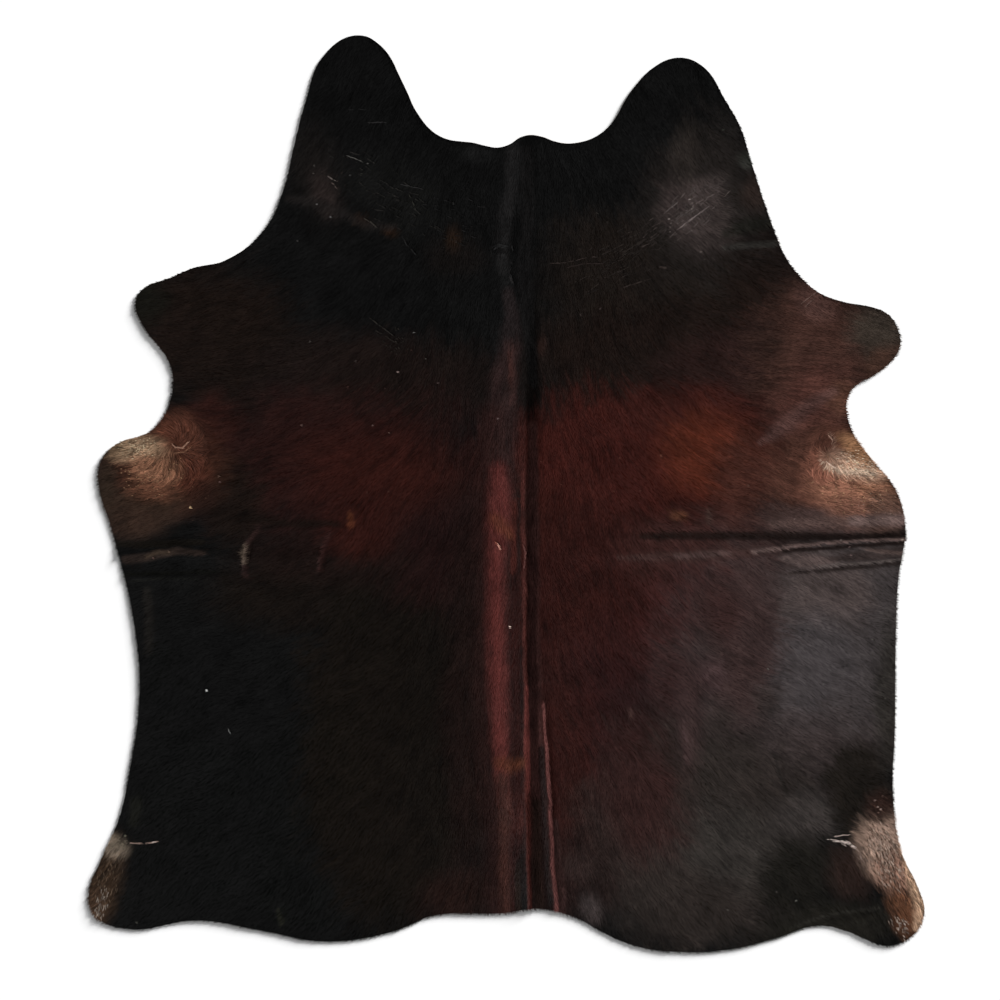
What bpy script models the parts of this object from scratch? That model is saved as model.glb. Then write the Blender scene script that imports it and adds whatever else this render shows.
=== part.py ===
"""A whole hair-on cowhide, laid flat on the floor as a rug.

Units are metres. +Y points to the neck and +Z up, and the floor is at z = 0. The origin is
the middle of the hide's bounding box on the floor.
"""

import math

import bmesh
import bpy
import numpy as np
from mathutils import Vector
from mathutils.geometry import delaunay_2d_cdt

# Driving dimensions
LENGTH = 2.100  # tip of the neck flap to the lowest point of the rump
WIDTH = 1.914  # hind shank to hind shank
SKIN = 0.002  # tanned leather
COAT = 0.003  # short hair lying flat on it
THICKNESS = SKIN + COAT

RIM_STEP = 0.028  # between two points along the outline
FOLD_STEP = 0.040  # between two rows of points along a fold
FILL_STEP = 0.062  # between the points of the plain areas
RIM_CLEARANCE = 0.35  # share of RIM_STEP that the folds' points keep from the rim
FOLD_CLEARANCE = 0.007  # that a fold's points keep from the folds before it

# The outline, clockwise from the tip of the left neck flap: each part of the hide with the
# points (x, y) that a smooth curve passes through.
OUTLINE = (
    ("left neck flap", ((-0.344, 1.050), (-0.288, 1.028), (-0.231, 0.934), (-0.199, 0.868))),
    ("neck edge", ((-0.152, 0.820), (-0.072, 0.804), (-0.015, 0.794), (0.051, 0.822), (0.142, 0.803))),
    ("right neck flap", ((0.218, 0.829), (0.284, 0.924), (0.338, 0.979), (0.398, 0.999))),
    ("right neck side", ((0.455, 0.974), (0.501, 0.902), (0.538, 0.835), (0.560, 0.764), (0.608, 0.618))),
    ("right shoulder", ((0.638, 0.545), (0.680, 0.490), (0.720, 0.459), (0.780, 0.439))),
    ("right foreleg", ((0.832, 0.430), (0.867, 0.416), (0.893, 0.385), (0.899, 0.328), (0.860, 0.281))),
    ("right armpit", ((0.786, 0.228), (0.786, 0.159), (0.842, 0.073), (0.880, 0.028), (0.901, -0.014))),
    ("right belly", ((0.913, -0.081), (0.898, -0.190), (0.891, -0.370), (0.890, -0.520), (0.886, -0.700))),
    ("right hind leg", ((0.903, -0.813), (0.944, -0.903), (0.957, -0.955), (0.931, -1.009))),
    ("right rump", ((0.873, -1.036), (0.832, -1.027), (0.793, -1.009), (0.713, -0.990), (0.617, -1.018))),
    ("tail edge", ((0.510, -1.044), (0.400, -1.050), (0.300, -1.038), (0.224, -1.008), (0.160, -0.973))),
    ("left rump", ((0.071, -0.951), (-0.005, -0.961), (-0.175, -0.969), (-0.218, -0.988), (-0.268, -1.006))),
    ("left thigh", ((-0.415, -1.026), (-0.561, -1.001), (-0.705, -0.978), (-0.867, -0.997))),
    ("left hind leg", ((-0.942, -0.966), (-0.957, -0.916), (-0.926, -0.830), (-0.889, -0.745))),
    ("left belly", ((-0.865, -0.640), (-0.841, -0.451), (-0.855, -0.286), (-0.904, -0.083))),
    ("left armpit", ((-0.934, 0.020), (-0.930, 0.072), (-0.895, 0.114), (-0.808, 0.150), (-0.768, 0.224))),
    ("left foreleg", ((-0.771, 0.292), (-0.832, 0.381), (-0.850, 0.429), (-0.839, 0.463))),
    ("left shoulder", ((-0.764, 0.498), (-0.712, 0.520), (-0.648, 0.534), (-0.556, 0.604), (-0.509, 0.705))),
    ("left neck side", ((-0.490, 0.787), (-0.463, 0.892), (-0.422, 1.000))),
)

# Each fold is a soft ridge along a line. Its rows run along that line and hold the crest's
# place (x, y), its height over the floor and how far it reaches to the left and to the right
# of someone who walks along it.
FOLDS = (
    (
        "spine, where the hide was folded lengthwise",
        (
            (0.053, -0.965, 0.001, 0.060, 0.030),
            (0.052, -0.880, 0.010, 0.062, 0.030),
            (0.047, -0.640, 0.012, 0.090, 0.030),
            (0.044, -0.330, 0.014, 0.090, 0.030),
            (0.044, -0.110, 0.013, 0.092, 0.032),
            (0.044, 0.150, 0.014, 0.090, 0.032),
            (0.044, 0.370, 0.013, 0.085, 0.032),
            (0.030, 0.450, 0.010, 0.045, 0.040),
            (0.009, 0.530, 0.008, 0.032, 0.058),
            (0.010, 0.620, 0.009, 0.034, 0.056),
            (0.029, 0.710, 0.010, 0.030, 0.038),
            (0.030, 0.830, 0.009, 0.030, 0.038),
        ),
    ),
    (
        "crease beside the spine",
        (
            (0.112, -0.965, 0.000, 0.020, 0.018),
            (0.108, -0.890, 0.006, 0.020, 0.018),
            (0.100, -0.780, 0.006, 0.018, 0.018),
            (0.090, -0.600, 0.005, 0.016, 0.016),
            (0.084, -0.450, 0.000, 0.014, 0.014),
        ),
    ),
    (
        "right half of the cross fold",
        (
            (0.110, -0.125, 0.000, 0.030, 0.030),
            (0.300, -0.133, 0.003, 0.034, 0.032),
            (0.500, -0.132, 0.005, 0.032, 0.026),
            (0.636, -0.119, 0.008, 0.030, 0.020),
            (0.757, -0.108, 0.009, 0.028, 0.018),
            (0.930, -0.098, 0.009, 0.026, 0.018),
        ),
    ),
    (
        "left half of the cross fold",
        (
            (-0.920, -0.137, 0.000, 0.028, 0.020),
            (-0.769, -0.129, 0.007, 0.028, 0.020),
            (-0.600, -0.148, 0.004, 0.030, 0.024),
            (-0.350, -0.140, 0.003, 0.030, 0.030),
            (-0.100, -0.125, 0.000, 0.030, 0.030),
        ),
    ),
    (
        "crease under the right half",
        (
            (0.670, -0.178, 0.000, 0.014, 0.014),
            (0.784, -0.163, 0.004, 0.014, 0.016),
            (0.920, -0.150, 0.005, 0.014, 0.016),
        ),
    ),
    (
        "crease under the left half",
        (
            (-0.900, -0.188, 0.000, 0.016, 0.014),
            (-0.790, -0.192, 0.005, 0.016, 0.014),
            (-0.620, -0.190, 0.000, 0.014, 0.014),
        ),
    ),
    (
        "fold on the right shoulder",
        (
            (0.480, 0.562, 0.000, 0.018, 0.014),
            (0.550, 0.570, 0.005, 0.022, 0.014),
            (0.640, 0.580, 0.004, 0.022, 0.014),
        ),
    ),
)
# Where the rows of points along a fold lie, as shares of its reach on either side.
ACROSS_FOLD = (-1.0, -0.68, -0.36, 0.0, 0.36, 0.68, 1.0)
SHARPNESS = 3.0  # of the join where two folds cross: a higher power follows the taller one closer


def outline_points():
    """The outline as points about RIM_STEP apart, read from a closed smooth curve."""
    knots = [point for _, points in OUTLINE for point in points]
    curve = bpy.data.curves.new("outline", "CURVE")
    spline = curve.splines.new("BEZIER")
    spline.bezier_points.add(len(knots) - 1)
    spline.use_cyclic_u = True
    for bezier, (x, y) in zip(spline.bezier_points, knots, strict=True):
        bezier.co = (x, y, 0.0)
        bezier.handle_left_type = bezier.handle_right_type = "AUTO"
    guide = bpy.data.objects.new("outline", curve)
    bpy.context.scene.collection.objects.link(guide)
    bpy.context.view_layer.update()
    drawn = guide.evaluated_get(bpy.context.evaluated_depsgraph_get()).to_mesh()
    path = np.array([vertex.co[:2] for vertex in drawn.vertices], dtype=float)
    bpy.data.objects.remove(guide)
    closed = np.vstack([path, path[:1]])
    along = np.concatenate([[0.0], np.cumsum(np.linalg.norm(np.diff(closed, axis=0), axis=1))])
    count = round(along[-1] / RIM_STEP)
    stops = np.arange(count) * along[-1] / count
    rim = np.stack([np.interp(stops, along, closed[:, axis]) for axis in (0, 1)], axis=1)
    return fitted(rim)


def fitted(rim):
    """The points scaled by a hair to measure exactly WIDTH by LENGTH about the origin."""
    low, high = rim.min(axis=0), rim.max(axis=0)
    return (rim - (low + high) / 2) * np.array([WIDTH, LENGTH]) / (high - low)


def inside(points, rim):
    """Whether each point lies within the rim, by counting the edges that a ray to +X crosses."""
    x, y = points[:, :1], points[:, 1:]
    (ax, ay), (bx, by) = rim.T, np.roll(rim, -1, axis=0).T
    spans = (ay > y) != (by > y)
    run = np.where(by == ay, 1.0, by - ay)
    return ((x < ax + (y - ay) * (bx - ax) / run) & spans).sum(axis=1) % 2 == 1


def nearest(points, others):
    """Each point's distance to the closest of the others."""
    return np.min(np.linalg.norm(points[:, None] - others[None], axis=2), axis=1)


def fold_rows(rows):
    """A fold's rows filled in to lie FOLD_STEP apart, eased so that the crest bends softly."""
    table = np.array(rows)
    along = np.concatenate([[0.0], np.cumsum(np.linalg.norm(np.diff(table[:, :2], axis=0), axis=1))])
    count = max(math.ceil(along[-1] / FOLD_STEP), 2)
    stops = np.linspace(0.0, along[-1], count + 1)
    filled = np.stack([np.interp(stops, along, column) for column in table.T], axis=1)
    eased = filled.copy()
    eased[1:-1] = (filled[:-2] + 2 * filled[1:-1] + filled[2:]) / 4
    return eased


def fold_lines(rows):
    """Lines of points along a fold: its left foot, its slopes, its crest and its right foot."""
    ahead = np.gradient(rows[:, :2], axis=0)
    ahead /= np.linalg.norm(ahead, axis=1)[:, None]
    to_right = np.stack([ahead[:, 1], -ahead[:, 0]], axis=1)
    return [
        rows[:, :2] + to_right * (share * np.where(share < 0, rows[:, 3], rows[:, 4]))[:, None]
        for share in ACROSS_FOLD
    ]


def fold_height(points, rows):
    """How far a fold lifts each point."""
    start, end = rows[:-1], rows[1:]
    step = end[:, :2] - start[:, :2]
    span = (step**2).sum(axis=1)
    away = points[:, None] - start[None, :, :2]
    share = np.clip((away * step).sum(axis=2) / span, 0.0, 1.0)
    off = away - share[..., None] * step
    gap = np.linalg.norm(off, axis=2)
    best = gap.argmin(axis=1)
    pick = (np.arange(len(points)), best)
    here = start[best] + share[pick][:, None] * (end[best] - start[best])
    on_right = step[best, 0] * off[pick][:, 1] - step[best, 1] * off[pick][:, 0] < 0
    reach = np.where(on_right, here[:, 4], here[:, 3])
    slope = np.clip(gap[pick] / reach, 0.0, 1.0)
    return here[:, 2] * (1 + np.cos(math.pi * slope)) / 2


def lift(points, folds):
    """The height of the hide's underside over the floor at each point."""
    heights = np.stack([fold_height(points, rows) for rows in folds])
    return (heights**SHARPNESS).sum(axis=0) ** (1 / SHARPNESS)


def sheet_points(rim, folds):
    """The points of the sheet and the edges that its faces keep to: the rim, then the lines
    along the folds, then a staggered grid that fills the rest."""
    placed = rim
    edges = [(index, (index + 1) % len(rim)) for index in range(len(rim))]
    for rows in folds:
        earlier = placed
        for line in fold_lines(rows):
            kept = inside(line, rim) & (nearest(line, rim) > RIM_CLEARANCE * RIM_STEP)
            kept &= nearest(line, earlier) > FOLD_CLEARANCE
            number = np.cumsum(kept) - 1 + len(placed)
            edges += [(number[i], number[i + 1]) for i in range(len(line) - 1) if kept[i] and kept[i + 1]]
            placed = np.vstack([placed, line[kept]])
    row_step = FILL_STEP * math.sqrt(3) / 2
    columns = np.arange(-WIDTH / 2, WIDTH / 2, FILL_STEP)
    levels = np.arange(-LENGTH / 2, LENGTH / 2, row_step)
    grid = np.array([
        (x + FILL_STEP / 2 * (index % 2), y) for index, y in enumerate(levels) for x in columns
    ])
    grid = grid[inside(grid, rim)]
    grid = grid[nearest(grid, placed) > FILL_STEP / 2]
    return np.vstack([placed, grid]), edges


def hide_mesh():
    """The underside of the hide as one open surface, with its faces turned up."""
    rim = outline_points()
    folds = [fold_rows(rows) for _, rows in FOLDS]
    points, edges = sheet_points(rim, folds)
    flat, _, faces, *_ = delaunay_2d_cdt([Vector(point) for point in points], edges, [], 1, 1e-6)
    flat = np.array([tuple(point) for point in flat])
    height = lift(flat, folds)
    mesh = bpy.data.meshes.new("hide")
    mesh.from_pydata([(x, y, z) for (x, y), z in zip(flat, height, strict=True)], [], faces)
    shape = bmesh.new()
    shape.from_mesh(mesh)
    for face in shape.faces:
        if face.normal.z < 0:
            face.normal_flip()
    shape.to_mesh(mesh)
    shape.free()
    mesh.shade_smooth()
    return mesh


def coat_material():
    """Very dark brown hair with a soft gloss."""
    material = bpy.data.materials.new("dark_coat")
    material.use_nodes = True
    shader = material.node_tree.nodes["Principled BSDF"]
    shader.inputs["Base Color"].default_value = (0.020, 0.009, 0.006, 1.0)
    shader.inputs["Roughness"].default_value = 0.45
    shader.inputs["Metallic"].default_value = 0.0
    return material


def build():
    for old in list(bpy.data.objects):
        bpy.data.objects.remove(old)
    collection = bpy.data.collections.new("cowhide_rug")
    bpy.context.scene.collection.children.link(collection)
    hide = bpy.data.objects.new("hide", hide_mesh())
    hide.data.materials.append(coat_material())
    collection.objects.link(hide)
    shell = hide.modifiers.new("thickness", "SOLIDIFY")
    shell.thickness = THICKNESS
    shell.offset = 1.0


build()
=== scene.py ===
import math

import bmesh
import bpy
import numpy as np
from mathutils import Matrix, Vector
from mathutils.geometry import delaunay_2d_cdt


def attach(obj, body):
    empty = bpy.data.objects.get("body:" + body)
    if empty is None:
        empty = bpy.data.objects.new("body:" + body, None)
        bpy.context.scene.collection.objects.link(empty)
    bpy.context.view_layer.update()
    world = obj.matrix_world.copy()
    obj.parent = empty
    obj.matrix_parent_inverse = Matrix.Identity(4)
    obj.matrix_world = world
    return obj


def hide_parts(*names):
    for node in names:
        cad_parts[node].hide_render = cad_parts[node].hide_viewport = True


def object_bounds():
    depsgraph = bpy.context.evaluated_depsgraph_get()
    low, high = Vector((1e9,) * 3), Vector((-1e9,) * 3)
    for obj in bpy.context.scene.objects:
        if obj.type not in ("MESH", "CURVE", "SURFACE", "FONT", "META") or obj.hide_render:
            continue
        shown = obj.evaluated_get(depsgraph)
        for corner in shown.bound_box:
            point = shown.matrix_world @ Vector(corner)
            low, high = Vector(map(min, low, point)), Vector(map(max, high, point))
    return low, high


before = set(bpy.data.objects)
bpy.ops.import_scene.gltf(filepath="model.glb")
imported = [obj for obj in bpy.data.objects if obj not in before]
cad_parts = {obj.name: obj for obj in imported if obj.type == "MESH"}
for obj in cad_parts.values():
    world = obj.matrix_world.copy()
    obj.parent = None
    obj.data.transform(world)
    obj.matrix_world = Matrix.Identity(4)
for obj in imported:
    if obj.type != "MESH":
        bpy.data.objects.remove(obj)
cad_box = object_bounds()

# ---------------------------------------------------------------- the tanned hide
# The hide is one piece of tanned leather, cut round its edge with a knife and left at its
# natural shape. Years folded in four have left it soft ridges along the spine and across the
# middle. Its lower side is open suede, and the hair of the upper side grows out of it.
SKIN = 0.002  # thickness of the leather
HAIR_OVERHANG = 0.0035  # that the hair reaches past the cut edge
RIM_PARTS = 5  # new points between two of the frame's own rim points
FILL_STEP = 0.0135  # between two points of the plain areas
FOLD_STEP = 0.012  # between two rows of points along a fold
ACROSS_FOLD = (-1.0, -0.75, -0.5, -0.25, 0.0, 0.25, 0.5, 0.75, 1.0)
ACROSS_CREASE = (-1.0, -0.5, 0.0, 0.5, 1.0)
FOLD_CLEARANCE, CREASE_CLEARANCE = 0.0030, 0.0022  # from their points to those placed before
FILL_CLEARANCE = 0.55  # of FILL_STEP, from a point of the plain areas to the others
EASINGS = 3  # rounds that take the corners out of a fold's line
SHARPNESS = 3.0  # of the join where two folds cross
WAVE_HEIGHT, WAVE_SIZE = 0.0011, 0.16  # slow unevenness of a hide that never lies dead flat
WAVE_GAIN = 0.6  # of its random field, before it is cut off at its lowest and highest
GRID = 256  # cells of a random field before it repeats
AT_ONCE = 1000  # points compared with others in one go
SAME_PLACE = 1e-5  # corners of the frame that are closer than this are one
KEEP_INSIDE, TOLERANCE = 1, 1e-6  # the triangulation's mode for an outline, and its tolerance
UPRIGHT = 0.6  # vertical share of its normal under which a face belongs to the side wall

# Each fold is a soft ridge along a line. Its rows hold the crest's place (x, y), its height over
# the floor, and how far it reaches to the left and to the right of someone who walks along it.
FOLDS = {
    "spine": (
        (0.053, -0.965, 0.001, 0.060, 0.030),
        (0.052, -0.880, 0.010, 0.062, 0.030),
        (0.047, -0.640, 0.012, 0.090, 0.030),
        (0.044, -0.330, 0.014, 0.090, 0.030),
        (0.044, -0.110, 0.013, 0.092, 0.032),
        (0.044, 0.150, 0.014, 0.090, 0.032),
        (0.044, 0.370, 0.013, 0.085, 0.032),
        (0.030, 0.450, 0.010, 0.045, 0.040),
        (0.009, 0.530, 0.008, 0.032, 0.058),
        (0.010, 0.620, 0.009, 0.034, 0.056),
        (0.029, 0.710, 0.010, 0.030, 0.038),
        (0.030, 0.830, 0.009, 0.030, 0.038),
    ),
    "beside the spine": (
        (0.112, -0.965, 0.000, 0.020, 0.018),
        (0.108, -0.890, 0.006, 0.020, 0.018),
        (0.100, -0.780, 0.006, 0.018, 0.018),
        (0.090, -0.600, 0.005, 0.016, 0.016),
        (0.084, -0.450, 0.000, 0.014, 0.014),
    ),
    "right half of the cross fold": (
        (0.110, -0.125, 0.000, 0.030, 0.030),
        (0.300, -0.133, 0.003, 0.034, 0.032),
        (0.500, -0.132, 0.005, 0.032, 0.026),
        (0.636, -0.119, 0.008, 0.030, 0.020),
        (0.757, -0.108, 0.009, 0.028, 0.018),
        (0.930, -0.098, 0.009, 0.026, 0.018),
    ),
    "left half of the cross fold": (
        (-0.920, -0.137, 0.000, 0.028, 0.020),
        (-0.769, -0.129, 0.007, 0.028, 0.020),
        (-0.600, -0.148, 0.004, 0.030, 0.024),
        (-0.350, -0.140, 0.003, 0.030, 0.030),
        (-0.100, -0.125, 0.000, 0.030, 0.030),
    ),
    "under the right half": (
        (0.670, -0.178, 0.000, 0.014, 0.014),
        (0.784, -0.163, 0.004, 0.014, 0.016),
        (0.920, -0.150, 0.005, 0.014, 0.016),
    ),
    "under the left half": (
        (-0.900, -0.188, 0.000, 0.016, 0.014),
        (-0.790, -0.192, 0.005, 0.016, 0.014),
        (-0.620, -0.190, 0.000, 0.014, 0.014),
    ),
    "right shoulder": (
        (0.480, 0.562, 0.000, 0.018, 0.014),
        (0.550, 0.570, 0.005, 0.022, 0.014),
        (0.640, 0.580, 0.004, 0.022, 0.014),
    ),
}

# Finer creases on top of the folds, with the same columns.
CREASES = {
    "crest of the spine": (
        (0.044, 0.300, 0.0000, 0.006, 0.006),
        (0.044, 0.150, 0.0015, 0.006, 0.006),
        (0.044, -0.150, 0.0024, 0.007, 0.007),
        (0.043, -0.470, 0.0026, 0.007, 0.007),
        (0.045, -0.730, 0.0026, 0.007, 0.007),
        (0.052, -0.945, 0.0020, 0.007, 0.007),
    ),
    "lens on the spine": (
        (0.030, -0.105, 0.0000, 0.006, 0.006),
        (0.033, -0.138, 0.0030, 0.008, 0.008),
        (0.031, -0.172, 0.0000, 0.006, 0.006),
    ),
    "knot on the spine": (
        (-0.036, -0.098, 0.0000, 0.007, 0.007),
        (-0.022, -0.112, 0.0034, 0.008, 0.008),
        (-0.010, -0.128, 0.0000, 0.007, 0.007),
    ),
    "swirl on the spine": (
        (-0.040, 0.566, 0.0000, 0.008, 0.008),
        (-0.020, 0.552, 0.0030, 0.009, 0.009),
        (0.006, 0.554, 0.0030, 0.009, 0.009),
        (0.020, 0.574, 0.0000, 0.008, 0.008),
    ),
    "crest of the right cross fold": (
        (0.560, -0.131, 0.0000, 0.005, 0.005),
        (0.636, -0.119, 0.0022, 0.006, 0.006),
        (0.757, -0.108, 0.0026, 0.006, 0.006),
        (0.905, -0.101, 0.0022, 0.006, 0.006),
    ),
    "short crease on the right": (
        (0.790, -0.122, 0.0000, 0.007, 0.007),
        (0.850, -0.131, 0.0028, 0.008, 0.008),
        (0.905, -0.140, 0.0030, 0.008, 0.008),
    ),
    "crest of the left cross fold": (
        (-0.890, -0.141, 0.0018, 0.006, 0.006),
        (-0.769, -0.129, 0.0024, 0.006, 0.006),
        (-0.690, -0.141, 0.0000, 0.006, 0.006),
    ),
    "outer dent on the left": (
        (-0.562, -0.080, 0.0000, 0.009, 0.009),
        (-0.584, -0.108, 0.0034, 0.010, 0.010),
        (-0.592, -0.150, 0.0036, 0.010, 0.010),
        (-0.594, -0.190, 0.0000, 0.009, 0.009),
    ),
    "inner dent on the left": (
        (-0.390, -0.068, 0.0000, 0.009, 0.009),
        (-0.412, -0.110, 0.0028, 0.010, 0.010),
        (-0.420, -0.155, 0.0028, 0.010, 0.010),
        (-0.420, -0.190, 0.0000, 0.009, 0.009),
    ),
    "streak under the right shoulder": (
        (0.560, 0.122, 0.0000, 0.018, 0.018),
        (0.646, 0.171, 0.0034, 0.020, 0.020),
        (0.715, 0.226, 0.0000, 0.018, 0.018),
    ),
    "line over the right shank": (
        (0.690, -0.975, 0.0000, 0.008, 0.008),
        (0.784, -0.962, 0.0022, 0.009, 0.009),
        (0.866, -0.938, 0.0000, 0.008, 0.008),
    ),
}


def unit(vectors):
    """The vectors brought to a length of 1."""
    return vectors / np.linalg.norm(vectors, axis=1)[:, None]


def rim_of(node):
    """The frame's outline at floor level: the corners between its side wall and its underside,
    in order, with a smooth curve drawn through them and set in to leave the hair its overhang."""
    shape = bmesh.new()
    shape.from_mesh(node.data)
    bmesh.ops.remove_doubles(shape, verts=shape.verts, dist=SAME_PLACE)
    shape.normal_update()
    after = {}
    for edge in shape.edges:
        if len(edge.link_faces) != 2:
            continue
        wall, floor = sorted(edge.link_faces, key=lambda face: -face.normal.z)
        if abs(wall.normal.z) < UPRIGHT and floor.normal.z < -UPRIGHT:
            for here, there in (edge.verts, reversed(edge.verts)):
                after.setdefault(here.index, []).append(there.index)
    start = min(after)
    order = [start, after[start][0]]
    while order[-1] != start:
        ends = after[order[-1]]
        order.append(ends[0] if ends[0] != order[-2] else ends[1])
    shape.verts.ensure_lookup_table()
    corners = np.array([shape.verts[index].co[:2] for index in order[:-1]])
    shape.free()
    before, past = np.roll(corners, 1, axis=0), np.roll(corners, -1, axis=0)
    later = np.roll(corners, -2, axis=0)
    parts = []
    for part in range(RIM_PARTS):
        t = part / RIM_PARTS
        parts.append(0.5 * (
            2 * corners + (past - before) * t
            + (2 * before - 5 * corners + 4 * past - later) * t**2
            + (3 * corners - before - 3 * past + later) * t**3
        ))
    rim = np.stack(parts, axis=1).reshape(-1, 2)
    ahead = unit(np.roll(rim, -1, axis=0) - np.roll(rim, 1, axis=0))
    turn = rim[:, 0] @ np.roll(rim[:, 1], -1) - rim[:, 1] @ np.roll(rim[:, 0], -1)
    inward = np.stack([-ahead[:, 1], ahead[:, 0]], axis=1) * math.copysign(1.0, turn)
    return rim + inward * HAIR_OVERHANG


def inside(points, rim):
    """Whether each point lies within the rim, by counting the edges that a ray to +X crosses."""
    found = []
    (ax, ay), (bx, by) = rim.T, np.roll(rim, -1, axis=0).T
    run = np.where(by == ay, 1.0, by - ay)
    for part in np.array_split(points, max(len(points) // AT_ONCE, 1)):
        x, y = part[:, :1], part[:, 1:]
        spans = (ay > y) != (by > y)
        found.append(((x < ax + (y - ay) * (bx - ax) / run) & spans).sum(axis=1) % 2 == 1)
    return np.concatenate(found)


def nearest(points, others):
    """Each point's distance to the closest of the others."""
    found = []
    for part in np.array_split(points, max(len(points) // AT_ONCE, 1)):
        found.append(np.linalg.norm(part[:, None] - others[None], axis=2).min(axis=1))
    return np.concatenate(found)


def filled_in(rows, step, least):
    """Rows filled in to lie a step apart or closer, with at least so many gaps between them, and
    the length of their line."""
    run = np.concatenate([[0.0], np.cumsum(np.linalg.norm(np.diff(rows[:, :2], axis=0), axis=1))])
    stops = np.linspace(0.0, run[-1], max(math.ceil(run[-1] / step), least) + 1)
    return np.stack([np.interp(stops, run, column) for column in rows.T], axis=1), run[-1]


def fold_rows(rows):
    """A fold's rows, filled in and eased so that the crest bends softly."""
    filled, _ = filled_in(np.array(rows), FOLD_STEP, 2)
    for _ in range(EASINGS):
        filled[1:-1] = (filled[:-2] + 2 * filled[1:-1] + filled[2:]) / 4
    return filled


def fold_lines(rows, shares):
    """Lines of points along a fold, from its left foot over its crest to its right foot."""
    ahead = unit(np.gradient(rows[:, :2], axis=0))
    to_right = np.stack([ahead[:, 1], -ahead[:, 0]], axis=1)
    return [
        rows[:, :2] + to_right * (share * np.where(share < 0, rows[:, 3], rows[:, 4]))[:, None]
        for share in shares
    ]


def beside(points, rows, reach):
    """For the points within reach of a line of rows: their numbers, how far each is from the
    line, whether it lies to the right of the line, and the row that it lies beside."""
    low, high = rows[:, :2].min(axis=0) - reach, rows[:, :2].max(axis=0) + reach
    near = np.flatnonzero(((points > low) & (points < high)).all(axis=1))
    start, end = rows[:-1], rows[1:]
    step = end[:, :2] - start[:, :2]
    away = points[near, None] - start[None, :, :2]
    share = np.clip((away * step).sum(axis=2) / (step**2).sum(axis=1), 0.0, 1.0)
    off = away - share[..., None] * step
    gap = np.linalg.norm(off, axis=2)
    best = gap.argmin(axis=1)
    pick = (np.arange(len(near)), best)
    here = start[best] + share[pick][:, None] * (end[best] - start[best])
    on_right = step[best, 0] * off[pick][:, 1] - step[best, 1] * off[pick][:, 0] < 0
    return near, gap[pick], on_right, here


def fold_height(points, rows):
    """How far a fold lifts each point."""
    height = np.zeros(len(points))
    near, gap, on_right, here = beside(points, rows, rows[:, 3:].max())
    slope = np.clip(gap / np.where(on_right, here[:, 4], here[:, 3]), 0.0, 1.0)
    height[near] = here[:, 2] * (1 + np.cos(math.pi * slope)) / 2
    return height


def soften(share):
    """A share from 0 to 1 with soft ends."""
    share = np.clip(share, 0.0, 1.0)
    return share * share * (3 - 2 * share)


def drift(points, size, seed, rounds=3):
    """A slow random field over the hide, about -1 to 1: random grids, each half as coarse and
    half as strong as the one before, with soft steps between their cells."""
    total = np.zeros(len(points))
    for step in range(rounds):
        table = np.random.default_rng([seed, step]).uniform(-1.0, 1.0, (GRID, GRID))
        spot = points / size * 2**step
        cell = np.floor(spot).astype(int)
        share = soften(spot - cell)
        (left, low), (right, high) = (cell % GRID).T, ((cell + 1) % GRID).T
        near = table[left, low] + share[:, 0] * (table[right, low] - table[left, low])
        far = table[left, high] + share[:, 0] * (table[right, high] - table[left, high])
        total += 0.5**step * (near + share[:, 1] * (far - near))
    return total


def relief(points):
    """The height of the underside over the floor at each point."""
    folds = np.stack([fold_height(points, rows) for rows in fold_table])
    creases = sum(fold_height(points, rows) for rows in crease_table)
    waves = WAVE_HEIGHT * np.clip(0.5 + WAVE_GAIN * drift(points, WAVE_SIZE, 1), 0.0, 1.0)
    return (folds**SHARPNESS).sum(axis=0) ** (1 / SHARPNESS) + creases + waves


rim = rim_of(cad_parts["hide"])
fold_table = [fold_rows(rows) for rows in FOLDS.values()]
crease_table = [fold_rows(rows) for rows in CREASES.values()]
placed = rim
edges = [(index, (index + 1) % len(rim)) for index in range(len(rim))]
for table, shares, clearance in (
    (crease_table, ACROSS_CREASE, CREASE_CLEARANCE),
    (fold_table, ACROSS_FOLD, FOLD_CLEARANCE),
):
    for rows in table:
        earlier = placed
        for line in fold_lines(rows, shares):
            kept = inside(line, rim) & (nearest(line, earlier) > clearance)
            number = np.cumsum(kept) - 1 + len(placed)
            edges += [
                (number[i], number[i + 1]) for i in range(len(line) - 1) if kept[i] and kept[i + 1]
            ]
            placed = np.vstack([placed, line[kept]])
columns = np.arange(rim[:, 0].min(), rim[:, 0].max(), FILL_STEP)
lines = np.arange(rim[:, 1].min(), rim[:, 1].max(), FILL_STEP * math.sqrt(3) / 2)
fill = np.array([
    (x + FILL_STEP / 2 * (index % 2), y) for index, y in enumerate(lines) for x in columns
])
fill = fill[inside(fill, rim)]
fill = fill[nearest(fill, placed) > FILL_STEP * FILL_CLEARANCE]
plan, _, faces, *_ = delaunay_2d_cdt(
    [Vector(point) for point in np.vstack([placed, fill])], edges, [], KEEP_INSIDE, TOLERANCE
)
plan = np.array([tuple(point) for point in plan])
bed = bpy.data.meshes.new("hair_bed")
bed.from_pydata(np.column_stack([plan, relief(plan) + SKIN]).tolist(), [], faces)
shape = bmesh.new()
shape.from_mesh(bed)
for face in shape.faces:
    if face.normal.z < 0:
        face.normal_flip()
shape.to_mesh(bed)
shape.free()
bed.shade_smooth()


def shade(red, green, blue):
    """A colour given as the eye sees it, 0 to 255, turned into the shader's linear one."""
    return tuple(
        c / 12.92 if c <= 0.04045 else ((c + 0.055) / 1.055) ** 2.4
        for c in (red / 255, green / 255, blue / 255)
    )


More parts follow.
